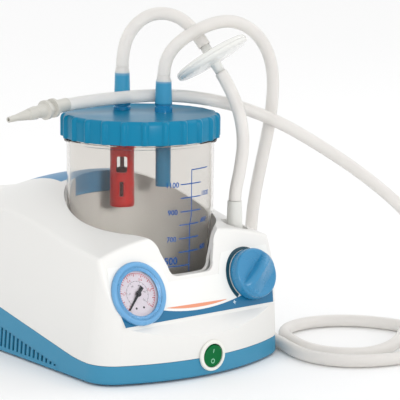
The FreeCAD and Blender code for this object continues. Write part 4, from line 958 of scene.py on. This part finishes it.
class SUCTIONPUMP_OT_jar(PumpStep, bpy.types.Operator):
    """Finish the clear jar and print its scale"""
    bl_idname = "suction_pump.jar"
    bl_label = "Jar"

    def execute(self, context):
        sizes, colours = self.settings(context)
        dress(clear("jar plastic", (237, 235, 232), 0.03, 1.2, 0.985), "collection_jar")
        dress(moulded("gasket silicone", (150, 152, 154), 0.5), "lid_gasket")
        ink = moulded("jar ink", colours.scale_ink, 0.5, 0.04, 1500.0, 0.1, 0.0,
                      Specular_IOR_Level=0.1)
        mesh_piece("jar_scale", *self.scale_shape(sizes), "jar", "jar_clear", ink, smooth=False)
        return {"FINISHED"}

    def scale_shape(self, sizes):
        """Upright line, and a line with its number for every 100 ml."""
        lift, start, step = (value / MM for value in (sizes.ink_lift, sizes.scale_start,
                                                      sizes.scale_step))
        last = SCALE_LINES - 1

        def place(around, height):
            return on_jar(np.asarray(around, float), np.asarray(height, float), lift)

        def upright(s, t):
            return place(SCALE_AT + SCALE_WIDTH * (s - 0.5),
                         start - SCALE_FOOT + (last * step + SCALE_FOOT) * t)

        parts = [patch(2, 90, upright)]
        for index in range(SCALE_LINES):
            height = start + index * step
            left, right = {0: (-25.0, 0.0), last: (0.0, 20.0)}.get(index, (-10.5, 10.5))
            parts.append(bar_patch((SCALE_AT + left, height), (SCALE_AT + right, height),
                                   SCALE_WIDTH, place, columns=24))
            if index < last:
                spot, size = self.number_spot(index, height, sizes.digit_height / MM)
                parts.append(number_patch(str(SCALE_FIRST + 100 * index), spot, size, place,
                                          boldness=0.018))
        return joined(parts)

    @staticmethod
    def number_spot(index, height, digits):
        """Middle and height of a line's number: right and left by turns, the lowest large."""
        if index == 0:
            return (SCALE_AT - 17.5, height + 4.3), digits * 1.38
        if index % 2:
            return (SCALE_AT + 17.0, height + 1.5), digits * 0.95
        return (SCALE_AT - 17.2, height), digits


class SUCTIONPUMP_OT_lid(PumpStep, bpy.types.Operator):
    """Finish the lid and what it carries"""
    bl_idname = "suction_pump.lid"
    bl_label = "Lid"

    def execute(self, context):
        colours = self.settings(context)[1]
        plastic = moulded("lid plastic", colours.lid, 0.3, 0.06, 1300.0, 0.1, 0.08,
                          Specular_IOR_Level=0.2)
        lid = mesh_piece("ribbed_lid", *self.lid_shape(), "lid", "lid_blue", plastic)
        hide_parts("jar_lid")
        dress(moulded("port blue plastic", colours.nozzle, 0.26, 0.06, 1300.0, 0.1, 0.08,
                      Coat_Weight=0.2), "vacuum_nozzle", "patient_nozzle")
        dress(moulded("drop tube plastic", (0, 112, 152), 0.3, 0.1), "drop_tube")
        dress(moulded("cage plastic", colours.cage, 0.3, 0.08, 900.0, 0.08, 0.06,
                      Specular_IOR_Level=0.3), "float_cage")
        # painted shade: the float is given the dark red-black of the shaded inside of the cage's
        # window, so it fills the window with painted shade
        dress(moulded("float foam in painted shade", (70, 16, 14), 0.6, 0.1, 2500.0, 0.1, 0.6), "float_valve")
        dress(moulded("membrane felt", (238, 238, 234), 0.9, 0.05, 3500.0, 0.05, 0.8),
              "filter_membrane")
        dress(moulded("connector plastic", (214, 212, 204), 0.3, 0.06, 700.0, 0.1, 0.1,
                      Transmission_Weight=0.2, Coat_Weight=0.2), "conical_connector")
        return {"FINISHED"}

    @staticmethod
    def lid_shape():
        """Screw lid: a turned profile whose wall carries round ribs.

        A rib adds its height * sqrt(1 - (arc from its middle / half width)^2) to the radius.
        """
        columns = 24 * LID_RIBS
        angle = np.linspace(0.0, 2.0 * np.pi, columns, endpoint=False)
        spacing = 2.0 * np.pi / LID_RIBS
        offset = (angle / spacing - LID_RIB_PHASE + 0.5) % 1.0 - 0.5
        arc = offset * spacing * LID_RADIUS
        rib = LID_RIB_HEIGHT * np.sqrt(np.clip(1.0 - (arc / LID_RIB_HALF_WIDTH) ** 2, 0.0, 1.0))
        profile = np.array([
            (0.0, 188.0, 0.0), (59.0, 188.0, 0.0), (59.0, 173.3, 0.0), (59.2, 173.0, 0.0),
            (59.8, 173.0, 0.7), (60.1, 173.4, 1.0), (60.1, 181.0, 1.0), (60.1, 187.0, 1.0),
            (59.7, 188.8, 1.0), (59.1, 190.0, 0.95), (58.4, 190.7, 0.7), (57.7, 191.0, 0.4),
            (57.0, 191.05, 0.0), (56.4, 190.5, 0.0), (0.0, 190.4, 0.0)])
        radius = profile[:, 0:1] + profile[:, 2:3] * rib
        points = np.stack((radius * np.cos(angle), JAR_Y + radius * np.sin(angle),
                           np.broadcast_to(profile[:, 1:2], radius.shape)), axis=-1)
        return points.reshape(-1, 3), grid_faces(len(profile), columns, closed=True)


class SUCTIONPUMP_OT_works(PumpStep, bpy.types.Operator):
    """Finish the pieces inside the case"""
    bl_idname = "suction_pump.works"
    bl_label = "Works"

    def execute(self, context):
        aluminium = (198, 199, 202)
        dress(striped_metal("lamination steel", (92, 94, 98), "X", 0.0008, True, 0.45),
              "motor_stator")
        dress(striped_metal("varnished wire", (168, 92, 48), "Z", 0.0007, True, 0.35),
              "motor_coil")
        dress(metal("cast aluminium", aluminium, 0.5, (900.0, 900.0, 900.0), 0.25, 0.5),
              "bearing_brackets", "pump_cylinder", "cylinder_head", "connecting_rod")
        dress(metal("turned aluminium", aluminium, 0.25, (2500.0, 60.0, 2500.0)), "motor_rotor",
              "piston")
        dress(metal("ground steel", (165, 166, 170), 0.25), "crank", "valve_plate")
        dress(metal("bearing bronze", (176, 140, 84), 0.35), "shaft_bearings")
        dress(metal("zinc plate", (168, 172, 174), 0.42, (120.0, 120.0, 120.0), 0.5), "pump_frame")
        dress(metal("nickel plate", (205, 204, 200), 0.2), "inlet_pins")
        dress(moulded("fan nylon", (70, 72, 78), 0.5), "cooling_fan")
        dress(moulded("ring polymer", (210, 205, 185), 0.45), "piston_ring")
        dress(clear("fuse glass", (235, 240, 240), 0.05, 1.45), "fuse_cartridges")
        return {"FINISHED"}


OPERATORS = (SUCTIONPUMP_OT_stage, SUCTIONPUMP_OT_hoses, SUCTIONPUMP_OT_housing,
             SUCTIONPUMP_OT_panel_print, SUCTIONPUMP_OT_gauge, SUCTIONPUMP_OT_controls,
             SUCTIONPUMP_OT_jar, SUCTIONPUMP_OT_lid, SUCTIONPUMP_OT_works)


class SUCTIONPUMP_PT_build(bpy.types.Panel):
    """Sizes, colours and steps of the pump"""
    bl_label = "Suction Pump"
    bl_idname = "SUCTIONPUMP_PT_build"
    bl_space_type = "VIEW_3D"
    bl_region_type = "UI"
    bl_category = "Suction Pump"

    def draw(self, context):
        for group in (context.scene.suction_pump_sizes, context.scene.suction_pump_colours):
            box = self.layout.box()
            for name in group.__annotations__:
                box.prop(group, name)
        for operator in OPERATORS:
            self.layout.operator(operator.bl_idname)


CLASSES = (SuctionPumpSizes, SuctionPumpColours, *OPERATORS, SUCTIONPUMP_PT_build)


def register():
    for cls in CLASSES:
        bpy.utils.register_class(cls)
    bpy.types.Scene.suction_pump_sizes = PointerProperty(type=SuctionPumpSizes)
    bpy.types.Scene.suction_pump_colours = PointerProperty(type=SuctionPumpColours)


def unregister():
    del bpy.types.Scene.suction_pump_colours
    del bpy.types.Scene.suction_pump_sizes
    for cls in reversed(CLASSES):
        bpy.utils.unregister_class(cls)


def write_sizes():
    """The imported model's box and the finished model's box, each as two corners in metres."""
    boxes = {"cad": CAD_BOUNDS, "visual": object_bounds()}
    plain = {name: [[float(value) for value in corner] for corner in box]
             for name, box in boxes.items()}


def main():
    """Runs every step."""
    register()
    for operator in OPERATORS:
        area, step = operator.bl_idname.split(".")
        getattr(getattr(bpy.ops, area), step)()
    write_sizes()


if __name__ == "__main__":
    main()
